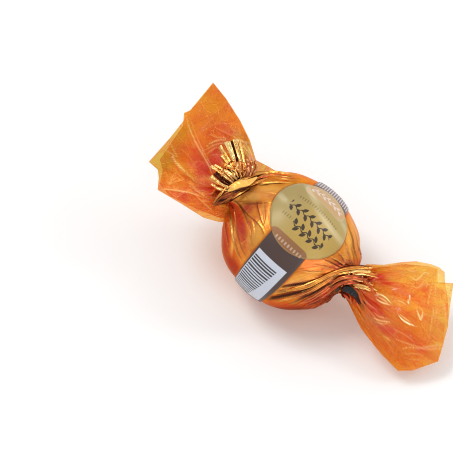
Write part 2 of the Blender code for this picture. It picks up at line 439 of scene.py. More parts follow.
def foil_material():
    """Bright crumpled gold foil, with painted shade in its folds and gaps and painted highlights on its paler strips.
    """
    m = Nodes("gold_foil")
    drift = m.noise(300.0, 4.0, 0.6)
    dark = m.attribute("crease")
    red = m.attribute("gathered_and_shading")
    colour = m.mix(m.step(drift, 0.3, 0.7), (0.82, 0.40, 0.085, 1), (1.0, 0.70, 0.27, 1))
    colour = m.mix(m.attribute("glint"), colour, (1.0, 0.80, 0.38, 1))
    colour = m.mix(red, colour, (0.50, 0.075, 0.040, 1))
    m.set(
        Base_Color=m.mix(dark, colour, (0.060, 0.016, 0.009, 1)),
        Metallic=1.0,
        Roughness=m.math("MULTIPLY_ADD", drift, 0.12, 0.13),
    )
    m.bump(m.noise(1100.0, 5.0, 0.6), 0.30, 0.0004)
    return m.material


def film_material(name, tint, bunched, aged, web, coat, reach, body):
    """Clear orange film. Light passes tinted through each layer, and each
    layer also shines and holds a little light of its own. It is redder where
    it is bunched; painted highlights make it pale along its creases and whiter
    along the lines marked by shine."""
    m = Nodes(name)
    f = m.math
    thick, crease = m.attribute("thick"), m.attribute("crease")
    shine, golden = m.attribute("shine"), m.attribute("golden")
    sheet = m.node("ShaderNodeAttribute", attribute_name="sheet").outputs["Vector"]

    def scaled(x, y, vector=sheet):
        made = m.node("ShaderNodeVectorMath", operation="MULTIPLY")
        m.put(made.inputs[0], vector)
        m.put(made.inputs[1], (x, y, 1.0))
        return made.outputs[0]

    out = m.node("ShaderNodeSeparateXYZ", {"Vector": sheet}).outputs[1]   # mm from the neck
    streak = m.noise(1.0, 4.0, 0.6, vector=scaled(1.15, 0.13), distortion=0.25)
    cloud = m.noise(1.0, 4.0, 0.6, vector=scaled(0.16, 0.15), distortion=1.0)
    fine = m.noise(1.0, 5.0, 0.6, vector=scaled(1.1, 0.8), distortion=0.8)
    wobble = m.node("ShaderNodeTexNoise", {"Scale": 0.5, "Detail": 2.0, "Vector": sheet}).outputs["Color"]
    shifted = m.node("ShaderNodeVectorMath", operation="MULTIPLY_ADD")
    m.put(shifted.inputs[0], wobble)
    m.put(shifted.inputs[1], (1.6, 1.6, 0.0))
    m.put(shifted.inputs[2], sheet)
    lines, tones = [], []
    for x, y, width in ((0.26, 0.14, 0.030), (0.52, 0.30, 0.045), (0.17, 0.24, 0.030)):
        where = {"Scale": 1.0, "Vector": scaled(x, y, shifted.outputs[0])}
        edges = m.node("ShaderNodeTexVoronoi", where, feature="DISTANCE_TO_EDGE").outputs["Distance"]
        cells = m.node("ShaderNodeTexVoronoi", where, feature="F1").outputs["Color"]
        lines.append(m.step(edges, width, 0.0))
        tones.append(m.node("ShaderNodeSeparateColor", {"Color": cells}).outputs[0])
    # painted highlights: pale lines along a web of creases, along the level lines of small crumples and on bright
    # streaks near the neck
    pale = f("MULTIPLY", lines[0], m.step(tones[0], 0.45, 0.75))
    pale = f("MULTIPLY_ADD", f("MULTIPLY", lines[1], m.step(tones[1], 0.60, 0.85)), 0.7, pale)
    deep = f("MULTIPLY", lines[2], m.step(tones[2], 0.7, 0.4))
    layered = f("ADD", m.step(tones[0], 0.62, 0.66), f("MULTIPLY", m.step(tones[2], 0.62, 0.66), 0.8))
    # small crumples: the level lines of a wavy field, here and there
    wavy = m.noise(1.0, 2.0, 0.45, vector=scaled(0.34, 0.26, shifted.outputs[0]), distortion=0.7)
    level = f("ABSOLUTE", f("SUBTRACT", f("FRACT", f("MULTIPLY", wavy, 9.0)), 0.5))
    where_ = m.noise(1.0, 2.0, 0.5, vector=scaled(0.11, 0.13))
    curls = f("MULTIPLY", m.step(level, 0.085, 0.02), m.step(where_, 0.50, 0.60))
    near = m.step(out, reach, 3.0)
    bright = f("MULTIPLY", m.step(streak, 0.54, 0.70), near)
    low = f("MULTIPLY", m.step(streak, 0.50, 0.34), near)
    crease = f("MULTIPLY_ADD", pale, web, crease, clamp=True)
    crease = f("MULTIPLY_ADD", curls, 1.6 * web, crease, clamp=True)
    crease = f("MULTIPLY_ADD", bright, 0.40, crease, clamp=True)
    thick = f("MULTIPLY_ADD", low, 0.55, thick, clamp=True)
    thick = f("MULTIPLY_ADD", deep, 0.45, thick, clamp=True)
    thick = f("MULTIPLY_ADD", layered, 0.20, thick, clamp=True)
    thick = f("MULTIPLY_ADD", m.step(cloud, 0.50, 0.74), 0.34, thick, clamp=True)
    haze = m.mix(cloud, (1.0, 0.40, 0.035, 1), (0.88, 0.24, 0.026, 1))
    haze = m.mix(golden, haze, tuple(c * k for c, k in zip(aged, (1.0, 0.88, 0.5))) + (1,))
    haze = m.mix(thick, haze, (0.70, 0.055, 0.026, 1))
    haze = m.mix(crease, haze, (1.0, 0.69, 0.17, 1))
    haze = m.mix(shine, haze, (1.0, 0.90, 0.58, 1))
    m.set(
        Base_Color=haze,
        Roughness=f("MULTIPLY_ADD", fine, 0.12, 0.10),
        IOR=1.5,
        Specular_IOR_Level=0.35,
        Coat_Weight=coat,
        Coat_Roughness=0.05,
        Coat_IOR=1.65,
    )
    normal = m.bump(f("MULTIPLY_ADD", streak, near, f("MULTIPLY_ADD", pale, 0.4, fine)), 0.5, 0.0006)
    clear = m.mix(m.step(cloud, 0.36, 0.60), tuple(c * k for c, k in zip(tint, (1.0, 1.12, 1.1))) + (1,), tint + (1,))
    clear = m.mix(golden, clear, aged + (1,))
    clear = m.mix(thick, clear, bunched + (1,))
    passing = m.node("ShaderNodeBsdfTransparent", {"Color": clear})
    fresnel = m.node("ShaderNodeFresnel", {"IOR": 1.45, "Normal": normal}).outputs[0]
    share = f("MULTIPLY_ADD", fresnel, 0.6, body)
    share = f("MULTIPLY_ADD", thick, 0.27, share)
    share = f("MULTIPLY_ADD", crease, 0.42, share)
    share = f("MULTIPLY_ADD", shine, 0.6, share, clamp=True)
    mixed = m.node("ShaderNodeMixShader")
    m.put(mixed.inputs[0], share)
    m.put(mixed.inputs[1], passing.outputs[0])
    m.put(mixed.inputs[2], m.shader.outputs[0])
    m.put(m.output.inputs["Surface"], mixed.outputs[0])
    return m.material


def fold_shadow_material():
    """Painted shadow for the inside of the fold under the right twist: near
    black in its middle, with painted light of dull red where its sides would
    catch the light."""
    m = Nodes("fold_shadow_paint")
    m.set(
        Base_Color=m.mix(m.attribute("gathered_and_shading"), (0.009, 0.010, 0.011, 1), (0.10, 0.022, 0.018, 1)),
        Roughness=0.32,
        Specular_IOR_Level=0.28,
    )
    return m.material


WRAPPER = wrapper_material()
FOLD_SHADOW = fold_shadow_material()
FOIL = foil_material()
FILM_LEFT = film_material("clear_film_left", (0.885, 0.480, 0.135), (0.78, 0.15, 0.055), (0.68, 0.42, 0.07), 0.10, 0.3, 14.0, 0.12)
FILM_RIGHT = film_material("clear_film_right", (1.0, 0.66, 0.195), (0.92, 0.14, 0.080), (0.93, 0.71, 0.24), 0.25, 0.45, 21.0, 0.16)


# ---- the film over the ball -----------------------------------------------------
def ball_direction(theta, phi):
    n = (
        -np.cos(theta)[..., None] * AXIS
        + (np.sin(theta) * np.cos(phi))[..., None] * LEAN
        + (np.sin(theta) * np.sin(phi))[..., None] * CROSS
    )
    up = n @ LEAN
    flat = n - up[..., None] * LEAN
    scale = 1.0 + BETA * up
    return unit(
        ((up + BETA) / scale)[..., None] * LEAN
        + flat * (math.sqrt(1 - BETA**2) / scale)[..., None]
    )


def label_sides(along_):
    """The label's half widths on either side of its middle line. The strip
    draws in towards the far end, where it is pulled round the ball."""
    disc = np.sqrt(np.clip(LABEL_DISC**2 - along_**2, 0.0, None))
    far = smooth(0.55, 1.95, along_)
    low, high = STRIP_LOW - 0.056 * far, STRIP_HIGH - 0.058 * smooth(1.0, 1.95, along_)
    return np.maximum(disc, low), np.maximum(disc, high)


def label_place(n):
    return np.arctan2(n @ L_ALONG, n @ L_OUT), np.arcsin(np.clip(n @ L_ACROSS, -1, 1))


def outside_label(n):
    """How far outside the label's edge, in degrees."""
    a, b = label_place(n)
    low, high = label_sides(a)
    out = np.maximum(-b - low, b - high)
    past = np.maximum(a - LABEL_TO, LABEL_FROM - a)
    return np.degrees(np.maximum(out, past))


RHO_NECK = math.radians(25.0)     # the film leaves the ball here
NECK_PROFILE = curve(
    [
        (R * math.sin(RHO_NECK), R * math.cos(RHO_NECK)),
        (5.9, 18.35),
        (4.3, 19.45),
        (3.45, 20.6),
        (3.5, 21.8),
        (4.3, 23.2),
    ],
    60,
)


def fold_shape(d, slope, edge):
    """A fold's section: a gentle slope on one side, a sharp drop on the other."""
    return np.where(d > 0, np.exp(-np.clip(d, 0, None) / slope), np.exp(-((d / edge) ** 2)))


def wind(rho, neck_s):
    """How far round the pole the folds have turned, growing towards the neck."""
    on = 0.75 * np.clip((math.radians(80) - rho) / math.radians(55), 0, 1) ** 1.6
    return on + neck_s * 2.7


def pole_folds(rho, psi, neck_s, radius, seed, count, quiet, upto, far):
    """Height and colours of the folds that run into one neck: painted shade
    at their feet, painted highlights on their crests and redder film beside
    them. quiet, 0 to 1, holds them back where the drawn folds lie, up to the
    share upto of the neck; far, 0 to 1, widens them."""
    rng = np.random.default_rng(seed)
    height = np.zeros_like(rho)
    crease = np.zeros_like(rho)
    gathered_and_shading = np.zeros_like(rho)
    glint = np.zeros_like(rho)
    turn = wind(rho, neck_s)
    tight = smooth(math.radians(40), math.radians(20), rho)
    share = 1.0 - quiet * smooth(0.0, 0.1, upto - neck_s)
    for k in range(count):
        psi0 = (k + rng.uniform(-0.34, 0.34)) * 2 * math.pi / count
        end, depth, lean = rng.uniform(34, 66), rng.uniform(0.22, 0.55), rng.uniform(-0.12, 0.12)
        line = psi0 - turn + lean * np.clip(rho - RHO_NECK, 0, None)
        d = (np.mod(psi - line + math.pi, 2 * math.pi) - math.pi) * radius
        reach = share * (1.0 - smooth(math.radians(end - 18), math.radians(end), rho))
        slope = 0.75 + 1.2 * (1 - tight)
        height += reach * depth * (0.6 + 0.4 * tight) * fold_shape(d, slope, 0.17 + 0.10 * (1 - tight))
        foot = np.exp(-(((d + 0.20) / (0.19 + 0.30 * far)) ** 2)) * (1 - 0.25 * far)
        crease = np.maximum(crease, reach * min(1.0, depth * 2.3) * foot)
        glint = np.maximum(glint, reach * depth * np.exp(-(((d - 0.14) / (0.16 + 0.30 * far)) ** 2)))
        gathered_and_shading += reach * 0.36 * np.exp(-(((d - 0.8) / 0.8) ** 2)) * rng.uniform(0.3, 1.2)
    gathered_and_shading = np.clip(gathered_and_shading, 0, 0.8) + 0.25 * share * smooth(math.radians(40), math.radians(24), rho)
    return height, crease, gathered_and_shading, glint


def drawn_fold(n, places, side, depth, slope, edge):
    """One fold along a line of places in the frame. side is +1 when its gentle
    slope lies left of the line's direction. Returns the height, the dark foot
    the bright crest and the shaded side."""
    line = curve(np.array([on_ball(*p) for p in places]), 16)
    mask = (n @ unit(line.mean(0))) > 0.70
    q = n[mask]
    best = np.full(len(q), 1e9)
    signed = np.zeros(len(q))
    share = np.zeros(len(q))
    for i in range(len(line) - 1):
        a, b = line[i], line[i + 1]
        ab = b - a
        t = np.clip(((q - a) @ ab) / (ab @ ab), 0, 1)
        gap = q - (a + t[:, None] * ab)
        dist = np.linalg.norm(gap, axis=1) * R
        left = np.sign(gap @ np.cross(unit(a + b), ab))
        closer = dist < best
        best = np.where(closer, dist, best)
        signed = np.where(closer, left * dist * side, signed)
        share = np.where(closer, (i + t) / (len(line) - 1), share)
    swell = np.sin(np.clip(share, 0.02, 0.98) * math.pi) ** 0.5
    ends = np.exp(-np.clip(best - np.abs(signed) * 0.999, 0, None) * 4)
    swell = swell * ends
    height, foot, crest, shade = (np.zeros(n.shape[:-1]) for _ in range(4))
    height[mask] = depth * swell * fold_shape(signed, slope, edge)
    foot[mask] = swell * np.exp(-((np.abs(signed + 1.2 * edge) / (edge * 1.7)) ** 3.0))
    crest[mask] = swell * np.exp(-(((signed - 0.16) / 0.20) ** 2))
    shade[mask] = swell * np.exp(-(((signed + 2.2 * edge) / 0.75) ** 2))
    return height, foot, crest, shade


# places, side of the slope, depth, slope, edge, dark foot (painted shade), bright crest (painted highlight)
DRAWN_FOLDS = [
    # from the left neck over the ball
    ([(235.5, 199), (232.2, 207), (231.4, 218), (232.4, 229), (234.2, 242), (237.5, 252), (241, 260)], -1, 0.42, 0.6, 0.20, 0.32, 1.0),
    ([(237.5, 199), (236.0, 210), (235.8, 222), (237.5, 236), (240.5, 247), (245, 256)], -1, 0.20, 0.7, 0.16, 0.30, 0.3),
    ([(239, 198.6), (241.6, 207.5), (246.0, 219), (249.6, 232), (251.5, 245)], -1, 0.26, 0.8, 0.16, 0.42, 0.25),
    ([(239.5, 200), (242.6, 206), (246, 212), (251, 217), (257, 222), (262.2, 229), (264.5, 236)], 1, 0.22, 0.7, 0.15, 0.38, 0.12),
    ([(242, 204.6), (250.6, 204.2), (260.4, 203.2), (272, 202.6)], 1, 0.14, 0.9, 0.13, 0.50, 0.15),
    ([(257.3, 204.5), (258.8, 210), (261, 218.2), (263.5, 225.4)], 1, 0.24, 0.6, 0.14, 0.34, 0.22),
    ([(262.5, 203.5), (264.3, 210), (264.6, 218), (263.6, 224)], -1, 0.16, 0.5, 0.18, 0.2, 0.30),
    ([(231, 203), (227.4, 212), (226.2, 226), (227.6, 240), (230.5, 252)], -1, 0.20, 0.8, 0.18, 0.30, 0.3),
    ([(246, 194.5), (258, 193), (270, 193), (283, 195)], 1, 0.10, 0.9, 0.20, 0.12, 0.2),
    ([(248, 214), (252, 222), (254, 231), (254, 240)], -1, 0.14, 0.9, 0.20, 0.16, 0.2),
    # from the right neck over the ball
    ([(347, 222), (349.3, 230), (351.3, 237), (352.8, 248), (353.6, 257), (352.5, 264)], 1, 0.26, 0.6, 0.16, 0.44, 0.5),
    ([(343.5, 240), (346.2, 248), (347.4, 256), (346.4, 264)], 1, 0.18, 0.6, 0.15, 0.35, 0.5),
    ([(353.5, 226), (356.2, 238), (357.8, 250), (358.2, 258), (356.5, 265)], 1, 0.20, 0.6, 0.16, 0.34, 0.5),
    ([(337.5, 251), (340.2, 256), (342.6, 263)], 1, 0.20, 0.6, 0.15, 0.46, 0.4),
    ([(329, 257), (334.5, 259.5), (338.5, 262.5), (342, 266)], 1, 0.20, 0.7, 0.15, 0.5, 0.5),
    ([(349.5, 243), (350.6, 250), (350.8, 257), (349.5, 264)], 1, 0.14, 0.6, 0.15, 0.3, 0.3),
    ([(320, 258.5), (328, 262), (335, 265.5), (341, 268.3)], -1, 0.20, 0.8, 0.18, 0.4, 0.3),
    ([(314, 264.5), (323, 266), (331, 267.8), (339, 269)], -1, 0.16, 0.8, 0.18, 0.25, 0.3),
    ([(300, 269.8), (306, 271), (314, 271.3), (324, 271)], -1, 0.16, 0.9, 0.18, 0.3, 0.5),
    ([(340.8, 268.6), (333, 271.8), (326, 274.6), (320.5, 277.4), (313, 280.1), (304, 282.6), (293, 284.4), (281, 286.6), (270, 289.6)], 1, 0.42, 0.8, 0.19, 1.0, 0.9),
    ([(333, 271), (322, 275.2), (311, 278.0), (300, 279.5)], 1, 0.16, 0.7, 0.14, 0.25, 0.5),
    ([(338, 272.3), (328, 277), (318.6, 281.6), (310.5, 286.5), (302, 290.3), (291.4, 293.1), (281, 295.6), (269, 297.8), (256, 300.8)], 1, 0.52, 0.8, 0.26, 1.0, 1.0),
    ([(304, 286.6), (294, 288.6), (284, 290.2), (274, 292.4)], 1, 0.22, 0.6, 0.14, 0.6, 0.7),
    ([(337, 274.5), (332.3, 277.9), (326.8, 282.3), (320, 287.4), (313, 291.7), (303, 296.3), (295, 301.0), (288, 303.6)], 1, 0.42, 0.7, 0.20, 1.0, 0.9),
    ([(300, 293.6), (291, 297.2), (281, 299.6), (273, 300.8)], 1, 0.20, 0.6, 0.13, 0.45, 0.7),
    ([(337, 283), (330.5, 289.7), (325, 293.4), (320.5, 296.8), (313, 301.6), (305, 304.6)], 1, 0.36, 0.7, 0.18, 0.95, 0.7),
    ([(331, 285), (322, 291.4), (312, 297.4), (303, 301.6)], 1, 0.22, 0.6, 0.14, 0.5, 0.8),
    ([(338, 287), (331.5, 293.6), (324, 299.0), (316, 303.2)], 1, 0.28, 0.7, 0.16, 0.6, 0.4),
    ([(288, 287.5), (278, 290.4), (269, 293)], 1, 0.18, 0.8, 0.14, 0.4, 0.6),
]
# patches of redder film; those along the lower and left rims are painted shade
RED_AND_SHADE_ON_BALL = [
    (318, 295, 34, 12, 20, 0.62),
    (290, 303, 40, 8, 4, 0.45),
    (325, 266.5, 8, 4, 8, 0.50),
    (240, 240, 16, 9, 100, 0.55),
    (240.5, 226, 22, 6.5, 98, 1.0),
    (264.8, 214, 14, 3.6, 93, 0.42),
    (331, 284, 10, 5, 30, 0.9),
    (241, 243, 14, 8, 100, 0.55),
    (350, 262, 13, 5, 5, 1.0),
    (228, 258, 30, 11, 110, 0.70),
    (223, 238, 32, 9, 92, 1.0),
    (231, 266, 18, 9, 118, 1.0),
    (318, 300, 30, 8, 22, 0.95),
    (290, 306, 32, 5, -6, 0.80),
    (338, 264, 9, 6, 30, 0.85),
    (248, 209, 7, 5, 40, 0.85),
    (257.5, 208, 7, 2.2, 95, 0.7),
    (262, 196, 20, 5, 3, 0.35),
    (322, 283, 18, 5, 25, 0.45),
    (236, 207, 5, 6, 60, 0.9),
    (355, 250, 18, 2.0, 97, 0.30),
    (285, 297, 24, 6, 14, 0.55),
    (232, 228, 26, 14, 98, 0.35),
    (312, 269, 14, 4, 4, 0.35),
    (315, 262.5, 20, 5.5, 8, 0.55),
    (269, 218, 12, 3.0, 95, 0.35),
    (288, 309, 34, 4, -2, 0.95),
]
# painted shade: dark patches along the rims, under the collar and in the folds by the right twist
SHADE_ON_BALL = [
    (236, 281, 22, 6, 128, 0.55),
    (218, 243, 30, 3.4, 95, 0.75),
    (274, 296.9, 10, 1.8, 13, 0.75),
    (231, 264, 22, 6, 117, 0.30),
    (228, 268, 18, 4, 118, 0.45),
    (297, 309.4, 46, 3.0, 3, 0.50),
    (329, 301, 16, 3.4, 42, 0.7),
    (246, 192.5, 6, 1.4, 28, 0.35),
    (224, 252, 28, 5, 104, 0.30),
    (340, 267, 5, 2.4, 20, 0.5),
    (331, 292, 9, 4, 40, 0.4),
]
SLACK_ON_BALL = [
    (254, 193, 17, 10, 12, 1.0),
    (268, 212, 8, 24, 10, 0.5),
    (311, 263.5, 18, 6, 8, 0.65),
    (356, 236, 32, 5, 100, 0.6),
]
GLINT_ON_BALL = [
    (263.4, 211, 8, 1.4, 92, 0.35),
    (254, 197.5, 10, 4.5, 10, 0.38),
    (232, 221, 19, 1.1, 93, 0.7),
    (233.5, 240, 14, 1.6, 82, 0.6),
    (297, 281, 18, 3.5, 10, 0.28),
    (349, 243, 20, 6, 95, 0.42),
    (356, 232, 28, 4, 104, 0.42),
    (345, 250, 10, 3, 80, 0.30),
    (256, 232, 16, 6.5, 70, 0.30),
    (303, 277, 20, 5, 10, 0.14),
    (262, 196, 18, 4, 4, 0.20),
    (270, 278, 16, 7, 20, 0.25),
    (270, 192, 16, 5, 5, 0.25),
]


def ball_film():
    rows_neck, rows_ball, columns = 38, 208, 330
    t = np.linspace(0, 2 * math.pi, columns, endpoint=False)
    phi = t - 0.54 * np.sin(t)      # finer towards the bisector of the necks
    inner = math.radians(20.5)      # in the grid's own angle
    theta = np.concatenate(
        [
            np.linspace(0.004, inner, rows_neck, endpoint=False),
            np.linspace(inner, math.pi - inner, rows_ball, endpoint=False),
            np.linspace(math.pi - inner, math.pi - 0.004, rows_neck),
        ]
    )
    theta, phi = np.meshgrid(theta, phi, indexing="ij")
    n = ball_direction(theta, phi)
    points = n * R
    normal = n.copy()
    height, crease, gathered_and_shading, glint, pull = (np.zeros(theta.shape) for _ in range(5))
    pleat = np.zeros(theta.shape + (3,))
    run = np.concatenate([[0], np.cumsum(np.linalg.norm(np.diff(NECK_PROFILE, axis=0), axis=1))])
    slope = np.gradient(NECK_PROFILE, axis=0)
    for pole, half, seed in (
        (POLE_LEFT, theta < math.pi / 2, 11),
        (POLE_RIGHT, theta >= math.pi / 2, 23),
    ):
        front, on_round = pole_frame(pole)
        q = n[half]
        rho = np.arccos(np.clip(q @ pole, -1, 1))
        psi = np.arctan2(q @ on_round, q @ front)
        s = np.clip((RHO_NECK - rho) / RHO_NECK, 0, 1)
        r = np.interp(s * run[-1], run, NECK_PROFILE[:, 0])
        h = np.interp(s * run[-1], run, NECK_PROFILE[:, 1])
        nr = np.interp(s * run[-1], run, slope[:, 1])
        nh = np.interp(s * run[-1], run, -slope[:, 0])
        out = np.cos(psi)[:, None] * front + np.sin(psi)[:, None] * on_round
        on_neck = rho < RHO_NECK
        points[half] = np.where(on_neck[:, None], out * r[:, None] + pole * h[:, None], q * R)
        normal[half] = np.where(on_neck[:, None], unit(out * nr[:, None] + pole * nh[:, None]), q)
        radius = np.where(on_neck, r, R * np.sin(rho))
        quiet = 0.94 * smooth(0.05, 0.40, q[:, 2])
        line = psi + wind(rho, s)       # the fine pleats wind like the folds
        pleat[half] = np.stack([15 * np.cos(line), 15 * np.sin(line), 2.4 * rho + 7.0 * s + seed], -1)
        shown = 0.85 if seed == 11 else 0.45
        pull[half] = (1.0 - smooth(math.radians(34), math.radians(80), rho)) * (1 - shown * smooth(0.05, 0.4, q[:, 2]))
        height[half], crease[half], gathered_and_shading[half], glint[half] = pole_folds(
            rho, psi, s, radius, seed, 27, quiet, 2.0 if seed == 11 else 0.45, smooth(0.3, -0.5, np.cos(phi[half]))
        )
    # each drawn fold: painted shade at its foot, redder painted shade on its shaded side and a painted highlight on its
    # crest
    for places, side, depth, gentle, edge, dark, bright in DRAWN_FOLDS:
        rise, foot, crest, shade = drawn_fold(n, places, side, depth * 1.5, gentle, edge)
        height += rise
        crease = np.maximum(crease, min(1.0, dark * 1.35) * foot)
        glint = np.maximum(glint, bright * crest)
        gathered_and_shading = np.maximum(gathered_and_shading, 0.75 * dark * shade)
    x, y = n[..., 0] * R, n[..., 1] * R
    front = smooth(-0.05, 0.12, n[..., 2])
    slack = front * patch(x, y, SLACK_ON_BALL)
    # painted shade from the patch tables, redder and dark, on the side facing the camera
    gathered_and_shading = np.maximum(gathered_and_shading, front * patch(x, y, RED_AND_SHADE_ON_BALL))
    crease = np.maximum(crease, front * patch(x, y, SHADE_ON_BALL))
    glint = np.maximum(glint, front * patch(x, y, GLINT_ON_BALL)) * (1 - 0.8 * crease)
    under = smooth(0.45, 0.95, n @ DOWN)     # painted shade: redder, darker film towards the underside
    gathered_and_shading = np.maximum(gathered_and_shading, 0.6 * under)
    off = outside_label(n)
    clear = smooth(0.2, 2.6, off)
    contact = np.exp(-((np.clip(off, 0.5, None) - 0.5) / 1.1) ** 2)     # a thin shade round the label
    height *= clear
    crease = np.maximum(crease * clear, 0.30 * contact)
    gathered_and_shading = np.maximum(np.clip(gathered_and_shading, 0, 1) * (0.4 + 0.6 * clear), 0.40 * contact)
    glint *= clear * (1 - 0.7 * contact)
    # shallow dents all over, as foil has over a moulded ball
    u, v = np.mod(phi / (2 * math.pi), 1.0), theta / math.pi
    dents, bends = facets(u, v, (92.0, 60.0), 170, 5)
    height += clear * 0.13 * dents
    glint = np.maximum(glint, 0.22 * bends * clear * (1 - crease))
    points = points * pulled_in(n)[..., None] + normal * height[..., None]
    # the foot
    depth = (points @ DOWN) - CENTRE[2]
    points = points - np.clip(depth, 0, None)[..., None] * DOWN
    obj = mesh_piece(
        "ball_film",
        [(points, {"crease": crease, "gathered_and_shading": gathered_and_shading, "glint": glint, "pull": pull * clear, "pleat": pleat, "slack": slack})],
        WRAPPER,
        wrap=True,
        ends=True,
    )
    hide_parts("wrapped_bonbon")
    return obj


# ---- the label --------------------------------------------------------------------
def label_material():
    m = Nodes("label_print")
    uv = m.node("ShaderNodeUVMap", uv_map="UVMap").outputs[0]
    parts = m.node("ShaderNodeSeparateXYZ", {"Vector": uv})
    u, v = parts.outputs[0], parts.outputs[1]     # mm along and across
    f = m.math

    def times(*values):
        out = values[0]
        for value in values[1:]:
            out = f("MULTIPLY", out, value)
        return out

    def box(u0, u1, v0, v1, soft=0.06, corner=0.0):
        """1 inside a rectangle with rounded corners."""
        du = f("ABSOLUTE", f("SUBTRACT", u, (u0 + u1) / 2))
        dv = f("ABSOLUTE", f("SUBTRACT", v, (v0 + v1) / 2))
        qu = f("MAXIMUM", f("SUBTRACT", du, (u1 - u0) / 2 - corner), 0.0)
        qv = f("MAXIMUM", f("SUBTRACT", dv, (v1 - v0) / 2 - corner), 0.0)
        far = f("SQRT", f("ADD", f("MULTIPLY", qu, qu), f("MULTIPLY", qv, qv)))
        return m.step(f("SUBTRACT", corner, far), -soft, soft)

    radius = f("SQRT", f("ADD", f("MULTIPLY", u, u), f("MULTIPLY", v, v)))
    disc_r = LABEL_DISC * R
    disc = m.step(f("SUBTRACT", disc_r, radius), 0.0, 0.08)
    edge = m.step(f("ABSOLUTE", f("SUBTRACT", radius, disc_r - 0.14)), 0.24, 0.06)

    cloud = m.noise(110.0, 3.0)
    # painted light and shade: the gold is paler towards one end of the label and darker towards one edge
    gold = m.mix(m.step(u, 3.0, -10.0), (0.425, 0.278, 0.064, 1), (0.425, 0.335, 0.138, 1))
    gold = m.mix(m.step(v, 1.0, -8.0), gold, (0.365, 0.270, 0.098, 1))
    gold = m.mix(f("MULTIPLY", m.step(cloud, 0.45, 0.75), 0.30), gold, (0.57, 0.45, 0.205, 1))
    brown = m.mix(m.noise(260.0, 3.0), (0.068, 0.038, 0.031, 1), (0.055, 0.032, 0.029, 1))
    colour = m.mix(disc, brown, gold)

    # lower field of the disc, and the paler field at its upper side
    lower = times(disc, box(8.65, 16.0, -6.6, 6.7, 0.08, 2.1))
    tone = m.mix(m.step(v, -6.0, 5.0), (0.285, 0.130, 0.052, 1), (0.24, 0.108, 0.040, 1))
    colour = m.mix(lower, colour, tone)
    field = times(disc, box(-11.55, -5.0, -6.8, 6.9, 0.10, 2.3))
    inner = times(disc, box(-11.2, -5.4, -6.4, 6.5, 0.08, 2.0))
    colour = m.mix(f("MULTIPLY", field, 0.45), colour, (0.62, 0.46, 0.30, 1))
    colour = m.mix(f("MULTIPLY", inner, 0.85), colour, m.mix(cloud, (0.54, 0.30, 0.12, 1), (0.58, 0.39, 0.20, 1)))
    for middle, swing, long_, shift in ((-9.4, 0.42, 9.0, 0.3), (-7.5, 0.50, 12.0, 2.1)):
        wave = f("SINE", f("MULTIPLY_ADD", v, 2 * math.pi / long_, shift))
        wave = f("MULTIPLY_ADD", wave, swing, middle)
        sweep = times(m.step(f("ABSOLUTE", f("SUBTRACT", u, wave)), 0.42, 0.16), box(-12, -5, -5.0, 5.2, 0.5))
        colour = m.mix(f("MULTIPLY", sweep, 0.35), colour, (0.80, 0.62, 0.55, 1))

    def vine(u0, v0, v1, pitch, size, turn):
        """A row of a leafy vine: a waved stem with a leaf on either side."""
        phase = f("MULTIPLY", v, 2 * math.pi / pitch)
        stem = f("MULTIPLY_ADD", f("SINE", phase), 0.30 * size, u0)
        ink = m.step(f("ABSOLUTE", f("SUBTRACT", u, stem)), 0.24, 0.12)
        for sign, shift in ((1.0, 0.0), (-1.0, 0.5)):
            x = f("SUBTRACT", f("FRACT", f("ADD", f("DIVIDE", v, pitch), shift)), 0.5)
            x = f("MULTIPLY", x, pitch)
            y = f("SUBTRACT", f("SUBTRACT", u, u0), sign * 0.70 * size)
            c, s_ = math.cos(turn), sign * math.sin(turn)
            p = f("ADD", f("MULTIPLY", x, c), f("MULTIPLY", y, s_))
            q = f("SUBTRACT", f("MULTIPLY", y, c), f("MULTIPLY", x, s_))
            p, q = f("DIVIDE", p, 0.84 * size), f("DIVIDE", q, 0.40 * size)
            far = f("ADD", f("MULTIPLY", p, p), f("ABSOLUTE", q))
            ink = f("MAXIMUM", ink, m.step(far, 1.08, 0.92))
        span = times(m.step(v, v0 - 0.1, v0 + 0.1), m.step(v, v1 + 0.1, v1 - 0.1))
        return times(ink, span)

    def dots(u0, u1, v0, v1, often):
        mark = f("SUBTRACT", f("ABSOLUTE", f("SUBTRACT", f("FRACT", f("MULTIPLY", v, often)), 0.5)), 0.24)
        return times(m.step(mark, 0.05, -0.05), box(u0, u1, v0, v1))

    ink = vine(1.0, -7.0, 7.6, 2.43, 1.22, 0.9)
    ink = f("MAXIMUM", ink, vine(5.0, -3.0, 7.6, 2.43, 1.22, -0.9))
    small = f("MAXIMUM", dots(-3.15, -2.25, -6.7, 7.2, 1.25), dots(3.9, 4.8, -6.9, -3.7, 1.25))
    ink = f("MAXIMUM", ink, f("MULTIPLY", small, 0.85))
    colour = m.mix(ink, colour, (0.050, 0.030, 0.016, 1))
    pale = vine(-8.1, -5.2, 5.4, 1.9, 0.86, 0.7)
    colour = m.mix(f("MULTIPLY", pale, 0.75), colour, (0.80, 0.66, 0.60, 1))
    colour = m.mix(f("MULTIPLY", dots(10.15, 11.05, -4.3, 5.3, 0.95), 0.75), colour, (0.78, 0.62, 0.52, 1))
    colour = m.mix(f("MULTIPLY", edge, 0.45), colour, (0.36, 0.22, 0.08, 1))

    # the strip's pale panel with plain bars of uneven width
    def between(u0, u1, v_low, v_high, slope, soft=0.06):
        left = f("SUBTRACT", v, f("MULTIPLY_ADD", u, slope, v_low - 16.5 * slope))
        right = f("SUBTRACT", f("MULTIPLY_ADD", u, -slope, v_high + 16.5 * slope), v)
        span = times(m.step(u, u0 - soft, u0 + soft), m.step(u, u1 + soft, u1 - soft))
        return times(span, m.step(left, -soft, soft), m.step(right, -soft, soft))

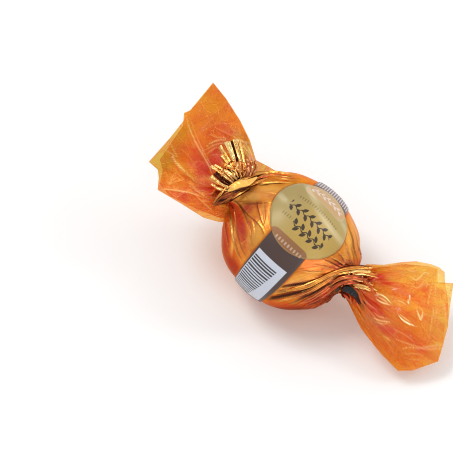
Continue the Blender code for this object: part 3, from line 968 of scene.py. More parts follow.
    panel = between(16.45, 36.5, -4.95, 5.05, 0.030)
    pale = m.mix(cloud, (0.48, 0.51, 0.59, 1), (0.58, 0.60, 0.68, 1))
    colour = m.mix(panel, colour, pale)
    bend = f("SINE", f("MULTIPLY_ADD", u, 1.0 / R, -0.47))
    place = f("MULTIPLY_ADD", u, 0.463, f("MULTIPLY", bend, 0.75 * R))
    toss = m.node("ShaderNodeTexWhiteNoise", {"W": f("FLOOR", place)}, noise_dimensions="1D").outputs[0]
    gap = f("ABSOLUTE", f("SUBTRACT", f("FRACT", place), 0.5))
    wide = f("MULTIPLY_ADD", toss, 0.20, 0.17)
    short = m.step(f("MULTIPLY_ADD", u, 0.12, v), 5.35, 5.20)      # shorter towards the end
    bars = times(m.step(f("SUBTRACT", wide, gap), -0.04, 0.04), between(18.4, 36.2, -4.75, 4.0, 0.030), short)
    bars = f("MULTIPLY", bars, m.step(u, 50.0, 32.0))
    colour = m.mix(bars, colour, m.mix(toss, (0.016, 0.017, 0.020, 1), (0.045, 0.045, 0.05, 1)))
    # the far end of the strip: a pale field with fine ticks
    far = times(m.step(u, -disc_r + 0.05, -disc_r - 0.15), m.step(u, -31.0, -30.8))
    tick = m.step(f("ABSOLUTE", f("SUBTRACT", f("FRACT", f("MULTIPLY", v, 1.3)), 0.5)), 0.14, 0.28)
    grey = m.mix(tick, (0.58, 0.49, 0.50, 1), (0.13, 0.09, 0.105, 1))
    grey = m.mix(m.step(u, -disc_r - 0.25, -disc_r - 0.05), grey, (0.20, 0.10, 0.06, 1))
    colour = m.mix(far, colour, grey)

    # painted sheen along the label's wrinkles
    fold_sheen = f("MULTIPLY", m.attribute("fold_sheen"), disc)
    colour = m.mix(f("MULTIPLY", fold_sheen, 0.45), colour, (0.84, 0.76, 0.52, 1))
    scuff = m.noise(500.0, 4.0, 0.6)
    m.set(
        Base_Color=colour,
        Metallic=f("MULTIPLY", disc, 0.12),
        Roughness=m.math("MULTIPLY_ADD", scuff, 0.14, 0.36),
        Specular_IOR_Level=0.35,
        Coat_Weight=0.12,
        Coat_Roughness=0.2,
    )
    m.bump(scuff, 0.08, 0.0003)
    return m.material


# low wrinkles of the label: places, side, depth
LABEL_FOLDS = [
    ([(303.5, 185), (305.5, 190), (308.5, 196.5), (312.5, 203), (318, 209)], -1, 0.20),
    ([(279, 193), (283.5, 198), (288, 202.5)], 1, 0.14),
    ([(314, 206), (322, 217), (331, 229), (338, 238), (343.5, 243.5)], 1, 0.17),
    ([(337, 222), (341.5, 229), (344, 236)], -1, 0.12),
]


def label_skin():
    rows, columns = 350, 84
    a = np.linspace(LABEL_FROM, LABEL_TO, rows)
    for place in (
        math.sqrt(LABEL_DISC**2 - STRIP_LOW**2),
        math.sqrt(LABEL_DISC**2 - STRIP_HIGH**2),
    ):
        for sign in (-1, 1):
            a[np.argmin(np.abs(a - sign * place))] = sign * place
    low, high = label_sides(a)
    t = np.linspace(0, 1, columns)[None, :]
    b = -low[:, None] * (1 - t) + high[:, None] * t
    a = np.repeat(a[:, None], columns, 1)
    n = (
        np.cos(b)[..., None] * (np.cos(a)[..., None] * L_OUT + np.sin(a)[..., None] * L_ALONG)
        + np.sin(b)[..., None] * L_ACROSS
    )
    u = (a - a.min()) / (a.max() - a.min())
    v = (b + LABEL_DISC) / (2 * LABEL_DISC)
    dents, _ = facets(u, v, (75.0, 24.0), 46, 8)
    lift = 0.42 + 0.06 * dents
    fold_sheen = np.zeros(lift.shape)
    # painted sheen: pale along each wrinkle's crest and beside its foot
    for places, side, depth in LABEL_FOLDS:
        rise, _, crest, soft = drawn_fold(n, places, side, depth, 1.1, 0.3)
        lift += rise
        fold_sheen = np.maximum(fold_sheen, np.maximum(0.7 * crest, 0.8 * soft) * min(1.0, 6 * depth))
    rim = smooth(0.90, 1.0, np.abs(np.linspace(-1, 1, columns)))[None, :]
    lift = lift * (1 - rim) + 0.24 * rim
    uv = np.stack([a * R, b * R], -1)
    shrink = pulled_in(n)[..., None]
    outer = n * (R + lift)[..., None] * shrink
    inner = n * (R + 0.08) * shrink
    points = np.concatenate([inner[:, :1], outer, inner[:, -1:]], 1)
    uv = np.concatenate([uv[:, :1], uv, uv[:, -1:]], 1)
    fold_sheen = np.pad(fold_sheen, 2)[1:-1, 1:-1]
    fold_sheen[:, 0] = fold_sheen[:, -1] = 0.0
    pick = [0] + list(range(columns)) + [-1]
    points = np.concatenate([inner[:1, pick], points, inner[-1:, pick]], 0)
    uv = np.concatenate([uv[:1], uv, uv[-1:]], 0)
    obj = mesh_piece("label_skin", [(points, {"fold_sheen": fold_sheen})], label_material(), uv=uv)
    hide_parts("label")
    return obj


# ---- film tails ---------------------------------------------------------------------
def meander(c, section):
    """The turning needed for a folded sheet to shorten to a share c of its
    width, by bisection."""
    low, high = 0.0, 2.15
    for _ in range(22):
        mid = (low + high) / 2
        if np.cos(mid * section).mean() > c:
            low = mid
        else:
            high = mid
    return (low + high) / 2


def fan(neck, outline, start_r, side, folds, fine, seed, slack=0.97, lift=0.0,
        crumple=(0.9, 0.35), columns=230, rows=84, sharp=2.6, cap=3.4, ease=(0.10, 0.55),
        thick=0.8, gather=0.30, spots=(), lines=(), golden=(), lit=1.0, even=False):
    """A sheet drawn into folds at the neck and opening out to its outline.
    side is +1 for a sheet on the camera's side of the bundle, -1 behind it.
    The folds die away between the two shares of the length in ease. With even,
    the crinkles are laid out by angle and distance from the neck."""
    rng = np.random.default_rng(seed)
    edge = along(outline, columns, keep=True)
    s = np.linspace(0, 1, columns)
    middle = unit((edge.mean(0) - neck) * np.array([1, 1, 0.0]))
    across = unit(edge[-1] - edge[0] - ((edge[-1] - edge[0]) @ middle) * middle) * np.array([1, 1, 0.0])
    x0 = (2 * s - 1) * start_r
    z0 = side * np.sqrt(np.clip(start_r**2 - x0**2, 0, None)) * (0.3 if side > 0 else 1.0)
    start = neck + x0[:, None] * across + z0[:, None] * np.array([0, 0, 1.0])
    t = np.linspace(0, 1, rows) ** 1.15
    base = start[None] + (edge - start)[None] * t[:, None, None]
    phase_c, phase_f = rng.uniform(0, 2 * math.pi, 2)
    warp = s + 0.035 * np.sin(2 * math.pi * (1.7 * s + rng.uniform())) + 0.02 * np.sin(
        2 * math.pi * (4.1 * s + rng.uniform())
    )
    wave_c = np.tanh(sharp * np.sin(2 * math.pi * folds * warp + phase_c)) / math.tanh(sharp)
    wave_f = np.tanh(sharp * np.sin(2 * math.pi * fine * warp + phase_f)) / math.tanh(sharp)
    width = np.linalg.norm(np.diff(base, axis=1), axis=2).sum(1)
    full = width[-1] / slack
    out = np.empty_like(base)
    for i in range(rows):
        near = 1 - smooth(0.03, 0.40, t[i])
        section = wave_c * (1 - 0.8 * near) + wave_f * (0.15 + 0.85 * near)
        section /= np.abs(section).max()
        c = max(0.16, min(0.99, width[i] / full))
        calm = smooth(ease[0], ease[1], t[i])
        c = 1 - (1 - c) * (1 - 0.99 * calm)
        turn = meander(min(c, 0.9999), section)
        x = np.concatenate([[0], np.cumsum(np.cos(turn * section[:-1]))])
        z = np.concatenate([[0], np.cumsum(np.sin(turn * section[:-1]))])
        z = (z / x[-1] - np.linspace(0, 1, columns) * z[-1] / x[-1]) * width[i]
        x = x / x[-1]
        z -= z.mean()
        most = np.abs(z).max() + 1e-9
        limit = min(cap, 0.75 * start_r + 7.0 * t[i])
        z *= min(1.0, limit / most)
        k = np.clip(x * (columns - 1), -6, columns + 5)
        j = np.clip(np.floor(k).astype(int), 0, columns - 2)
        f = (k - j)[:, None]
        out[i] = base[i, j] * (1 - f) + base[i, j + 1] * f
        out[i, :, 2] += z
    tt, ss = np.meshgrid(t, s, indexing="ij")
    rise = smooth(0.04, 0.45, tt)
    length = float(np.linalg.norm(edge.mean(0) - neck))
    su, sv, wide, long_ = ss, tt, full, length
    if even:
        flat = base - (neck - 1.5 * start_r * middle)
        angle, far = np.arctan2(flat @ across, flat @ middle), np.hypot(flat @ across, flat @ middle)
        su, wide = (angle - angle.min()) / np.ptp(angle), 0.6 * far.max() * np.ptp(angle)
        sv, long_ = (far - far.min()) / np.ptp(far), float(np.ptp(far))
    big, big_bend = facets(su, sv, (wide, long_), 40, seed + 1)
    small, small_bend = facets(su, sv, (wide, long_), 190, seed + 2)
    out[..., 2] += rise * (crumple[0] * big + crumple[1] * small)
    out[..., 2] += lift * smooth(0.0, 0.4, tt) * (1 - np.abs(2 * ss - 1) ** 6)
    # painted highlights: pale lines along the sharper facet edges
    crease = rise * np.maximum(0.50 * big_bend, 0.24 * small_bend) * lit
    shine = np.zeros(crease.shape)
    x, y = out[..., 0], out[..., 1]
    # drawn creases: a raised ridge with a painted pale line, and a painted highlight on the strongest
    for places, height, strength in lines:
        path = curve([spot(*p)[:2] for p in places], 20)
        best, where = np.full(x.shape, 1e9), np.zeros(x.shape)
        for i in range(len(path) - 1):
            a, ab = path[i], path[i + 1] - path[i]
            share = np.clip(((x - a[0]) * ab[0] + (y - a[1]) * ab[1]) / (ab @ ab), 0, 1)
            dist = np.hypot(x - a[0] - share * ab[0], y - a[1] - share * ab[1])
            where = np.where(dist < best, (i + share) / (len(path) - 1), where)
            best = np.minimum(best, dist)
        best = best / (0.25 + 0.85 * np.sin(math.pi * np.clip(where, 0.03, 0.97)))
        out[..., 2] += height * np.exp(-((best / 0.45) ** 2))
        crease = np.maximum(crease, strength * np.exp(-((best / 0.20) ** 2)))
        shine = np.maximum(shine, max(0.0, 2.5 * strength - 1.5) * np.exp(-((best / 0.15) ** 2)))
    deep = thick * (1 - smooth(0.02, gather, tt)) * (0.75 + 0.25 * wave_f[None, :])
    deep = np.maximum(deep, patch(x, y, spots) * (0.85 + 0.3 * small))
    sheet = np.stack([su * wide, sv * long_, np.full(tt.shape, 7.3 * (seed % 97))], -1)
    return out, {
        "crease": crease,
        "thick": np.clip(deep, 0, 1),
        "shine": shine,
        "golden": patch(x, y, golden),
        "sheet": sheet,
    }


def corners(rows):
    return np.array([spot(x, y, z) for x, y, z in rows])


RIGHT_FRONT = corners([
    (366, 264, 8.0), (383, 264.5, 8.0), (400, 262, 7.6), (415, 261, 7.0), (430, 264, 6.8),
    (438, 267, 6.6), (443.5, 272, 6.4), (444, 283, 6.4), (447, 300, 6.6), (447, 325, 7.0),
    (441, 345, 7.8), (437, 360, 8.4), (411, 369.5, 8.6), (397, 370, 8.8), (380, 353, 8.9), (360, 327, 9.0),
])
RIGHT_BACK = corners([
    (366, 265, 6.5), (383, 266, 6.0), (405, 264, 5.6), (428, 266, 5.0), (437, 269, 4.8), (437, 283, 4.6),
    (453, 283, 4.4), (450, 302, 4.4), (447, 325, 5.2), (442, 345, 6.2),
    (437, 361, 7.2), (411, 370, 7.6), (397, 370, 7.9), (380, 353, 8.2), (360, 328, 8.4),
])
LEFT_BACK = corners([
    (276, 171, -2.5), (268, 166, -3.0), (256, 160, -2.6), (250, 140, -2.0), (240, 120, -2.4), (226, 98, -3.0),
    (213, 82, -3.4), (200, 98, -2.0), (190, 110.2, -0.6), (184.3, 113.3, 0.0), (184.5, 119.5, 0.4), (170, 138, 1.6),
    (149, 162, 3.6), (158, 170, 4.6), (159, 178, 5.6), (158, 190, 7.0), (180, 203, 8.2), (204, 218, 8.8), (219, 222, 7.6), (227, 222, 6.0), (231.5, 220, 4.6),
])
LEFT_MID = corners([
    (254, 166, -1.0), (254, 158, -1.2), (249, 140, -1.0), (240, 121, -1.4), (226, 99, -2.0),
    (213.5, 83, -2.4), (200.8, 98.4, -1.0), (190.8, 110.2, 0.6), (184, 113, 1.0), (183, 126, 1.6), (172, 142, 2.6),
    (160, 160, 4.2), (163, 170, 5.2), (160, 184, 7.0), (170, 196, 8.4), (192, 207, 9.2), (212, 215, 9.0), (220, 218, 8.0), (227, 218, 6.4), (231.5, 216, 4.8),
])


def tails():
    def piece(name, *args, **settings):
        mesh_piece(name, [fan(*args, **settings)], FILM_RIGHT if "right" in name else FILM_LEFT)

    piece(
        "tail_right_front", NECK_RIGHT, RIGHT_FRONT, 3.3, 1, 5, 13, 101, lift=0.6, gather=0.36,
        golden=[(440, 300, 60, 13, 85, 0.9), (424, 271, 34, 12, 0, 1.0), (432, 280, 16, 9, 0, 0.7), (398, 268, 20, 5, 0, 0.4),
                (437, 348, 26, 8, 60, 0.6), (385, 299, 12, 5, -30, 0.6), (381, 320, 16, 3.5, -8, 0.7), (384, 336, 7, 4, -30, 0.5)],
        spots=[(371.5, 304, 16, 7, -63, 1.0), (375, 279, 12, 6.5, -20, 1.0), (379, 279, 16, 4, -30, 0.9), (396, 287, 16, 4.5, -28, 0.55),
               (389, 329, 10, 5, -10, 0.42), (410, 342, 30, 16, -30, 0.20), (424, 340, 14, 6, 20, 0.35), (372, 330, 24, 9, -55, 0.15),
               (404, 336, 18, 6, -30, 0.25)],
        lines=[
            ([(373.5, 295), (379, 294), (385, 297.5), (390, 303)], 0.30, 0.9),
            ([(374, 298), (380, 301.5), (386, 303.5), (390, 304.5)], 0.25, 0.8),
            ([(377, 296.5), (382, 299), (387, 303)], 0.20, 0.7),
            ([(397, 314.4), (402, 319.6), (408, 323), (414.6, 325.8)], 0.40, 1.0),
            ([(398, 316.8), (404, 321.5), (410, 325)], 0.25, 0.85),
            ([(399, 314), (405, 318.6), (411, 321.8)], 0.20, 0.7),
            ([(408.6, 294.8), (408, 299), (406.4, 304.7)], 0.30, 0.9),
            ([(396, 300), (401, 301.5), (405, 304.5)], 0.20, 0.7),
            ([(414.6, 307.2), (417, 313), (419.7, 319.6), (421.5, 311.3)], 0.22, 0.75),
            ([(414.6, 307.2), (418, 307), (422, 310.5)], 0.15, 0.6),
            ([(432, 281), (429, 292), (426, 306)], 0.30, 0.60),
            ([(433, 303), (431, 318), (428.6, 330)], 0.30, 0.55),
            ([(437, 268), (434.5, 285), (433.5, 300)], 0.25, 0.45),
            ([(440, 300), (445, 318), (442.5, 338), (437, 352)], 0.30, 0.55),
            ([(371, 317), (380, 320), (390, 321.5)], 0.25, 0.65),
            ([(373, 320.5), (381, 323), (388, 322.5)], 0.20, 0.5),
            ([(409, 276), (414, 279.5), (419, 277), (423, 272.5), (428, 273)], 0.20, 0.7),
            ([(411, 284), (415, 287.5), (420, 285), (423, 279.5)], 0.20, 0.65),
            ([(404, 268), (411, 271), (417, 270)], 0.20, 0.55),
            ([(422, 279), (426, 283), (425, 288)], 0.15, 0.55),
            ([(400, 348), (408, 346.6), (419, 347.5)], 0.22, 0.50),
            ([(402, 353), (412, 352.6), (422, 354.5)], 0.22, 0.45),
            ([(405, 358), (414, 358.5), (424, 357)], 0.18, 0.35),
            ([(381, 334.5), (385, 337), (390, 341)], 0.20, 0.55),
            ([(392, 328), (402, 333), (411, 340)], 0.25, 0.35),
            ([(372, 311), (378, 316), (386, 317)], 0.20, 0.50),
        ],
    )
    piece(
        "tail_right_back", NECK_RIGHT, RIGHT_BACK, 3.3, -1, 5, 12, 202, lift=-0.4,
        spots=[(374, 306, 20, 9, -60, 0.7), (400, 338, 40, 22, -38, 0.22)],
        golden=[(446, 305, 60, 16, 85, 0.9), (425, 272, 30, 10, 0, 0.9), (440, 350, 26, 12, 60, 0.6)],
    )
    piece(
        "tail_left_back", NECK_LEFT, LEFT_BACK, 3.4, -1, 7, 17, 404, lift=-0.4, thick=0.7, gather=0.25, even=True,
        golden=[(160, 162, 34, 16, 45, 1.0), (176, 138, 26, 7, 50, 0.8), (247, 148, 18, 8, 80, 0.6), (262, 165, 18, 8, -20, 0.7),
                (206, 92, 20, 4, 50, 0.5), (214, 106, 30, 22, 90, 0.35)],
        spots=[(207, 150, 36, 20, 70, 0.35), (190, 196, 36, 14, -15, 0.40)],
    )
    piece(
        "tail_left_mid", NECK_LEFT, LEFT_MID, 3.2, -1, 7, 16, 505, lift=0.2, even=True,
        golden=[(168, 158, 28, 9, 47, 0.8), (181, 138, 20, 6, 50, 0.6), (244, 148, 17, 9, 75, 1.0), (216, 144, 12, 5, 20, 0.6),
                (184, 170, 16, 3.5, -45, 0.6), (238, 136, 15, 6, -35, 0.8), (214, 106, 30, 22, 90, 0.25)],
        spots=[(214, 160, 20, 8, 78, 1.0), (204, 172, 18, 8.5, 68, 1.0), (209, 172, 12, 6, 60, 0.8), (226, 131, 14, 8, -25, 0.45), (248, 168, 10, 6, 80, 0.9), (202, 165, 27, 9, 108, 0.92),
               (206, 184, 14, 14, 60, 0.7), (190, 200, 34, 11, -18, 0.36), (176, 192, 16, 7, -10, 0.30), (205, 132, 16, 8, 0, 0.25)],
        lines=[
            ([(186, 116), (189, 127), (194, 139), (201, 152), (208, 164), (213, 176)], 0.35, 0.65),
            ([(190, 117), (194, 130), (200, 144), (207, 158), (214, 170)], 0.20, 0.40),
            ([(172.5, 155), (175, 161), (180, 167), (186, 172.5)], 0.40, 0.70),
            ([(174, 162), (180, 169), (188, 175.5), (197, 183)], 0.30, 0.45),
            ([(208, 134), (216, 137), (226, 138)], 0.20, 0.50),
            ([(214, 127), (224, 132), (236, 138)], 0.20, 0.40),
            ([(206, 147), (212, 142.5), (220, 140), (228, 140.5)], 0.25, 0.65),
            ([(205, 151), (211, 146.5), (219, 143.8), (225, 144)], 0.20, 0.55),
            ([(207, 155), (212, 150), (218, 147)], 0.20, 0.45),
            ([(160, 189), (175, 190.5), (190, 193), (204, 198)], 0.30, 0.65),
            ([(163, 184), (172, 180), (180, 177)], 0.20, 0.30),
            ([(187, 180), (196, 190), (206, 197)], 0.25, 0.45),
            ([(196, 196), (206, 205), (216, 214)], 0.30, 0.45),
            ([(233.5, 137.5), (241, 141), (249.5, 143)], 0.22, 0.70),
            ([(240, 142), (244, 147), (250, 154)], 0.20, 0.50),
            ([(243, 152), (249.5, 159), (253, 167)], 0.20, 0.55),
            ([(180, 148), (190, 158), (197, 170)], 0.20, 0.25),
            ([(215, 110), (222, 120), (232, 130)], 0.15, 0.15),
        ],
    )


# ---- foil in the twists ---------------------------------------------------------------
def finger(path, wide, seed, bend=1.0, red=0.0, tip=0.35, pale=0.0, black=0.0):
    """A strip of foil folded lengthways to a gutter, which opens to its tip.
    Shade is painted down its sides, at its root and along a line in it; black
    paints the whole strip dark as the shadow of a gap, and pale paints a
    highlight over it.
    """
    rng = np.random.default_rng(seed)
    rows, columns = 40, 15
    centre = curve([spot(*p) for p in path], rows)
    s = np.linspace(0, 1, rows)
    half = np.interp(s, [0, 0.35, 1], [0.35 * wide[0], 0.5 * wide[0], 0.5 * wide[1]])
    ahead = unit(np.gradient(centre, axis=0))
    side = unit(np.cross(ahead, np.array([0.0, 0.0, 1.0])))
    normal = np.cross(side, ahead)
    ss, a = np.meshgrid(s, np.linspace(-1, 1, columns), indexing="ij")
    angle = a * math.radians(105)
    across = np.sin(angle) / math.sin(math.radians(90))
    up = (np.cos(angle) - 0.25) * bend
    up = up + 0.22 * np.sin(3.1 * a * math.pi + rng.uniform(0, 6)) * ss
    dents, bends = facets(ss, (a + 1) / 2, (9.0, 3.0), 40, seed)
    points = (
        centre[:, None]
        + side[:, None] * (across * half[:, None])[..., None]
        + normal[:, None] * ((up * half[:, None]) + 0.13 * dents)[..., None]
    )
    slant = (a * rng.uniform(-0.5, 0.5) + 0.25 * dents) * tip * smooth(0.7, 1.0, ss)
    points = points + ahead[:, None] * slant[..., None]
    # painted shade: darker towards the gutter's sides, at its root and along a line down it
    dark = 0.9 * smooth(0.66, 0.95, np.abs(a)) + 0.40 * smooth(0.35, 0.0, ss)
    dark = np.maximum(dark, 0.9 * np.exp(-(((a - rng.uniform(-0.35, 0.35)) / 0.13) ** 2)) * rng.uniform(0.3, 0.8))
    return points, {
        "crease": np.maximum(np.clip(dark, 0, 0.95), black),
        "gathered_and_shading": red * (0.7 + 0.3 * dents) * (1 - 0.25 * ss),
        "glint": np.full(a.shape, pale),
    }


def foil():
    left = [
        # the upper bunch
        finger([(235, 176, 9.2), (231.8, 167, 8.2), (226.8, 157.5, 7.2), (220.0, 146.5, 6.2)], (1.0, 1.15), 1),
        finger([(236.5, 175, 9.4), (235.0, 165, 8.6), (232.2, 155, 7.8), (227.2, 142.5, 7.0)], (0.9, 1.85), 2, tip=0.5, pale=0.5),
        finger([(238.5, 172, 8.2), (238.0, 163, 7.0), (235.2, 152.5, 6.0), (231.3, 141.5, 5.2)], (0.9, 1.35), 12, black=1.0),
        finger([(240.5, 172, 9.0), (240.3, 162, 8.0), (237.6, 151.5, 7.0), (234.4, 139.8, 6.2)], (0.9, 1.25), 3, pale=0.2),
        finger([(243.5, 173, 8.6), (243.8, 162, 7.4), (241.6, 150.5, 6.2), (238.2, 140.0, 5.4)], (0.8, 0.9), 4, red=0.2),
        finger([(233, 174, 8.8), (229.5, 167, 8.0), (226, 160.5, 7.2), (222.5, 156, 6.6)], (1.0, 1.5), 13, red=0.3),
        # crumpled bits at its root
        finger([(238, 178, 9.6), (235, 172, 9.4), (230, 168, 8.8), (225, 166, 8.2)], (0.9, 1.2), 8, red=0.35),
        finger([(241, 178, 9.6), (239, 171.5, 9.3), (235.5, 166, 8.9), (233, 160, 8.4)], (0.9, 1.2), 14, red=0.45),
        finger([(237, 180, 10.0), (232, 175.5, 9.8), (227, 172.0, 9.2), (221.5, 170.0, 8.6)], (0.9, 1.3), 15, red=0.35),
        # the lower bunch
        finger([(233, 183, 10.2), (226, 177.5, 9.6), (218.5, 171.5, 8.8), (211.2, 166.6, 8.0)], (0.9, 1.0), 5, red=0.35),
        finger([(234, 181, 10.0), (228, 175, 9.4), (221.5, 169.5, 8.6), (215, 165.6, 7.8)], (0.8, 0.9), 16, red=0.5),
        finger([(232, 186.5, 9.8), (226, 183.2, 9.2), (220.5, 178.6, 8.4), (215.5, 173.5, 7.8)], (0.9, 1.35), 17, black=1.0),
        finger([(232, 188.5, 10.4), (225, 186.4, 10.0), (217.5, 182.2, 9.4), (211.0, 176.8, 8.8)], (0.9, 1.6), 6, red=0.22),
        finger([(231, 191, 10.2), (224, 190.5, 9.8), (217, 188.0, 9.2), (212, 184.6, 8.6)], (0.8, 1.0), 7, red=0.5),
        # red pleats on its right
        finger([(246, 177, 8.8), (248.3, 170.5, 7.6), (248.3, 164.5, 6.6), (246.8, 159.5, 5.8)], (0.9, 0.95), 9, red=1.0),
        finger([(249.3, 176.5, 8.4), (252.2, 170.5, 7.2), (252.6, 165, 6.2), (251.2, 160.5, 5.4)], (0.9, 0.95), 10, red=1.0),
        finger([(252.6, 175.5, 8.0), (255.6, 170, 6.8), (256.2, 165.5, 5.8), (254.8, 161.5, 5.0)], (0.8, 0.8), 18, red=0.95),
        finger([(243, 177.5, 9.0), (244.6, 171, 8.0), (244.6, 165, 7.0), (243.2, 160, 6.2)], (0.9, 0.85), 11, red=0.9),
    ]
    mesh_piece("foil_left", left, FOIL)
    right = [
        finger([(340, 272, 13.2), (350, 269.0, 13.2), (360, 267.2, 12.6), (371, 267.4, 11.6)], (1.0, 0.5), 21, red=0.2),
        finger([(341, 275, 13.6), (350, 271.8, 13.8), (359, 270.4, 13.2), (369, 271.6, 12.4)], (1.0, 0.6), 22, red=0.05),
        finger([(345, 277, 13.8), (354, 274.2, 13.6), (363, 274.0, 12.9), (376, 277.0, 11.6)], (0.8, 0.3), 23, red=0.35),
        finger([(344, 282, 13.4), (352, 280, 13.2), (361, 280.5, 12.6), (372, 285.0, 11.6)], (0.8, 0.3), 24, red=0.6),
        finger([(353, 286.2, 13.2), (359, 287.2, 13.0), (366, 288.8, 12.5), (377, 293.5, 11.6)], (0.8, 0.5), 25, red=0.30),
        finger([(352, 283.5, 13.2), (360, 284.5, 12.9), (368, 287.0, 12.3), (376, 290.0, 11.6)], (0.7, 0.3), 26, red=0.3),
    ]
    mesh_piece("foil_right", right, FOIL)

    def crumpled(name, neck, places, start_r, folds, seed, z_tip, red):
        outline = corners([(x, y, z_tip) for x, y in places])
        points, made = fan(
            neck, outline, start_r, 1, folds, folds, seed, slack=0.55, crumple=(0.7, 0.5),
            columns=170, rows=44, sharp=1.2, cap=1.3, ease=(0.7, 1.4),
        )
        # painted shade: the slopes facing one way are darker
        slope_ = np.gradient(points[..., 2], axis=1)
        dark = np.clip(-slope_ * 2.0, 0, 0.8)
        mesh_piece(name, [(points, {"crease": dark, "gathered_and_shading": red * np.clip(made["thick"] + 0.5, 0, 1)})], FOIL)

    crumpled(
        "foil_left_core", NECK_LEFT,
        [(246, 164), (241, 161), (236, 163), (231, 160.5), (227, 165), (223, 169), (220.5, 174), (221, 181)],
        2.4, 6, 71, 9.6, 0.75,
    )
    crumpled(
        "foil_right_core", NECK_RIGHT,
        [(368, 268), (372, 273), (368, 278), (372, 284), (366, 289)], 2.8, 6, 73, 9.0, 0.3,
    )


# ---- twisted strands over the necks ------------------------------------------------------
def strand(path, widths, folds, seed, dome=0.45, ridge=0.26, red=0.1, bright=0.5, dark=0.0,
           tuck=0.9, hollow=False, pale=0.0, pull=0.8):
    """A strand of the wrapper drawn together and folded lengthways, with painted
    shade at the foot of its folds and along its tucked edges, and painted
    highlights on their crests and, with pale, over its face. The path is given
    as places of the frame with a height over the ball and the necks."""
    rng = np.random.default_rng(seed)
    rows, columns = 110, 38
    centre = curve([surface(*p) if len(p) < 4 else spot(*p[:3]) for p in path], rows)
    width = np.interp(np.linspace(0, 1, rows), np.linspace(0, 1, len(widths)), widths)
    ahead = unit(np.gradient(centre, axis=0))
    toward = unit(unit(centre) * 0.6 + np.array([0, 0, 0.7]))
    side = unit(np.cross(ahead, toward))
    normal = np.cross(side, ahead)
    s = np.linspace(0, 1, rows)
    ss, vv = np.meshgrid(s, np.linspace(-1, 1, columns), indexing="ij")
    phase = vv * folds * 0.5 + 0.22 * np.sin(2 * math.pi * (ss * 0.9 + rng.uniform())) + 0.35 * ss
    saw = np.mod(phase + rng.uniform(), 1.0)
    up = np.where(saw < 0.78, saw / 0.78, (1 - saw) / 0.22)
    body = (-1 if hollow else 1) * dome * (1 - np.abs(vv) ** 2.4)
    dents, bends = facets(ss, (vv + 1) / 2, (30.0, 4.0), 70, seed)
    height = body + ridge * (up - 0.5) * (1 - np.abs(vv) ** 6) + 0.08 * dents
    height -= tuck * smooth(0.84, 1.0, np.abs(vv))
    points = (
        centre[:, None]
        + side[:, None] * (vv * width[:, None] / 2)[..., None]
        + normal[:, None] * (height * np.clip(width[:, None] / 2.4, 0.15, 1.2))[..., None]
    )
    # painted shade at the foot of each fold and along the tucked edges, painted highlight along the crests
    foot = np.exp(-(((saw - 0.91) / 0.11) ** 2)) * 0.95 + 0.85 * smooth(0.76, 0.96, np.abs(vv))
    crest = np.exp(-(((saw - 0.70) / 0.10) ** 2)) * bright + 0.25 * bends * bright
    crease = np.maximum(foot, dark)
    run = np.concatenate([[0], np.cumsum(np.linalg.norm(np.diff(centre, axis=0), axis=1))])
    across = vv * width[:, None] * 1.1
    pleat = np.stack([across, np.broadcast_to(0.16 * run[:, None], vv.shape), np.full(vv.shape, 3.7 * seed)], -1)
    return points, {
        "pull": np.full(crease.shape, pull),
        "pleat": pleat,
        "crease": crease,
        "gathered_and_shading": np.broadcast_to(np.interp(s, np.linspace(0, 1, np.size(red)), np.atleast_1d(red))[:, None], crease.shape),
        "glint": np.maximum(crest, pale * (0.8 + 0.3 * dents)) * (1 - crease),
    }


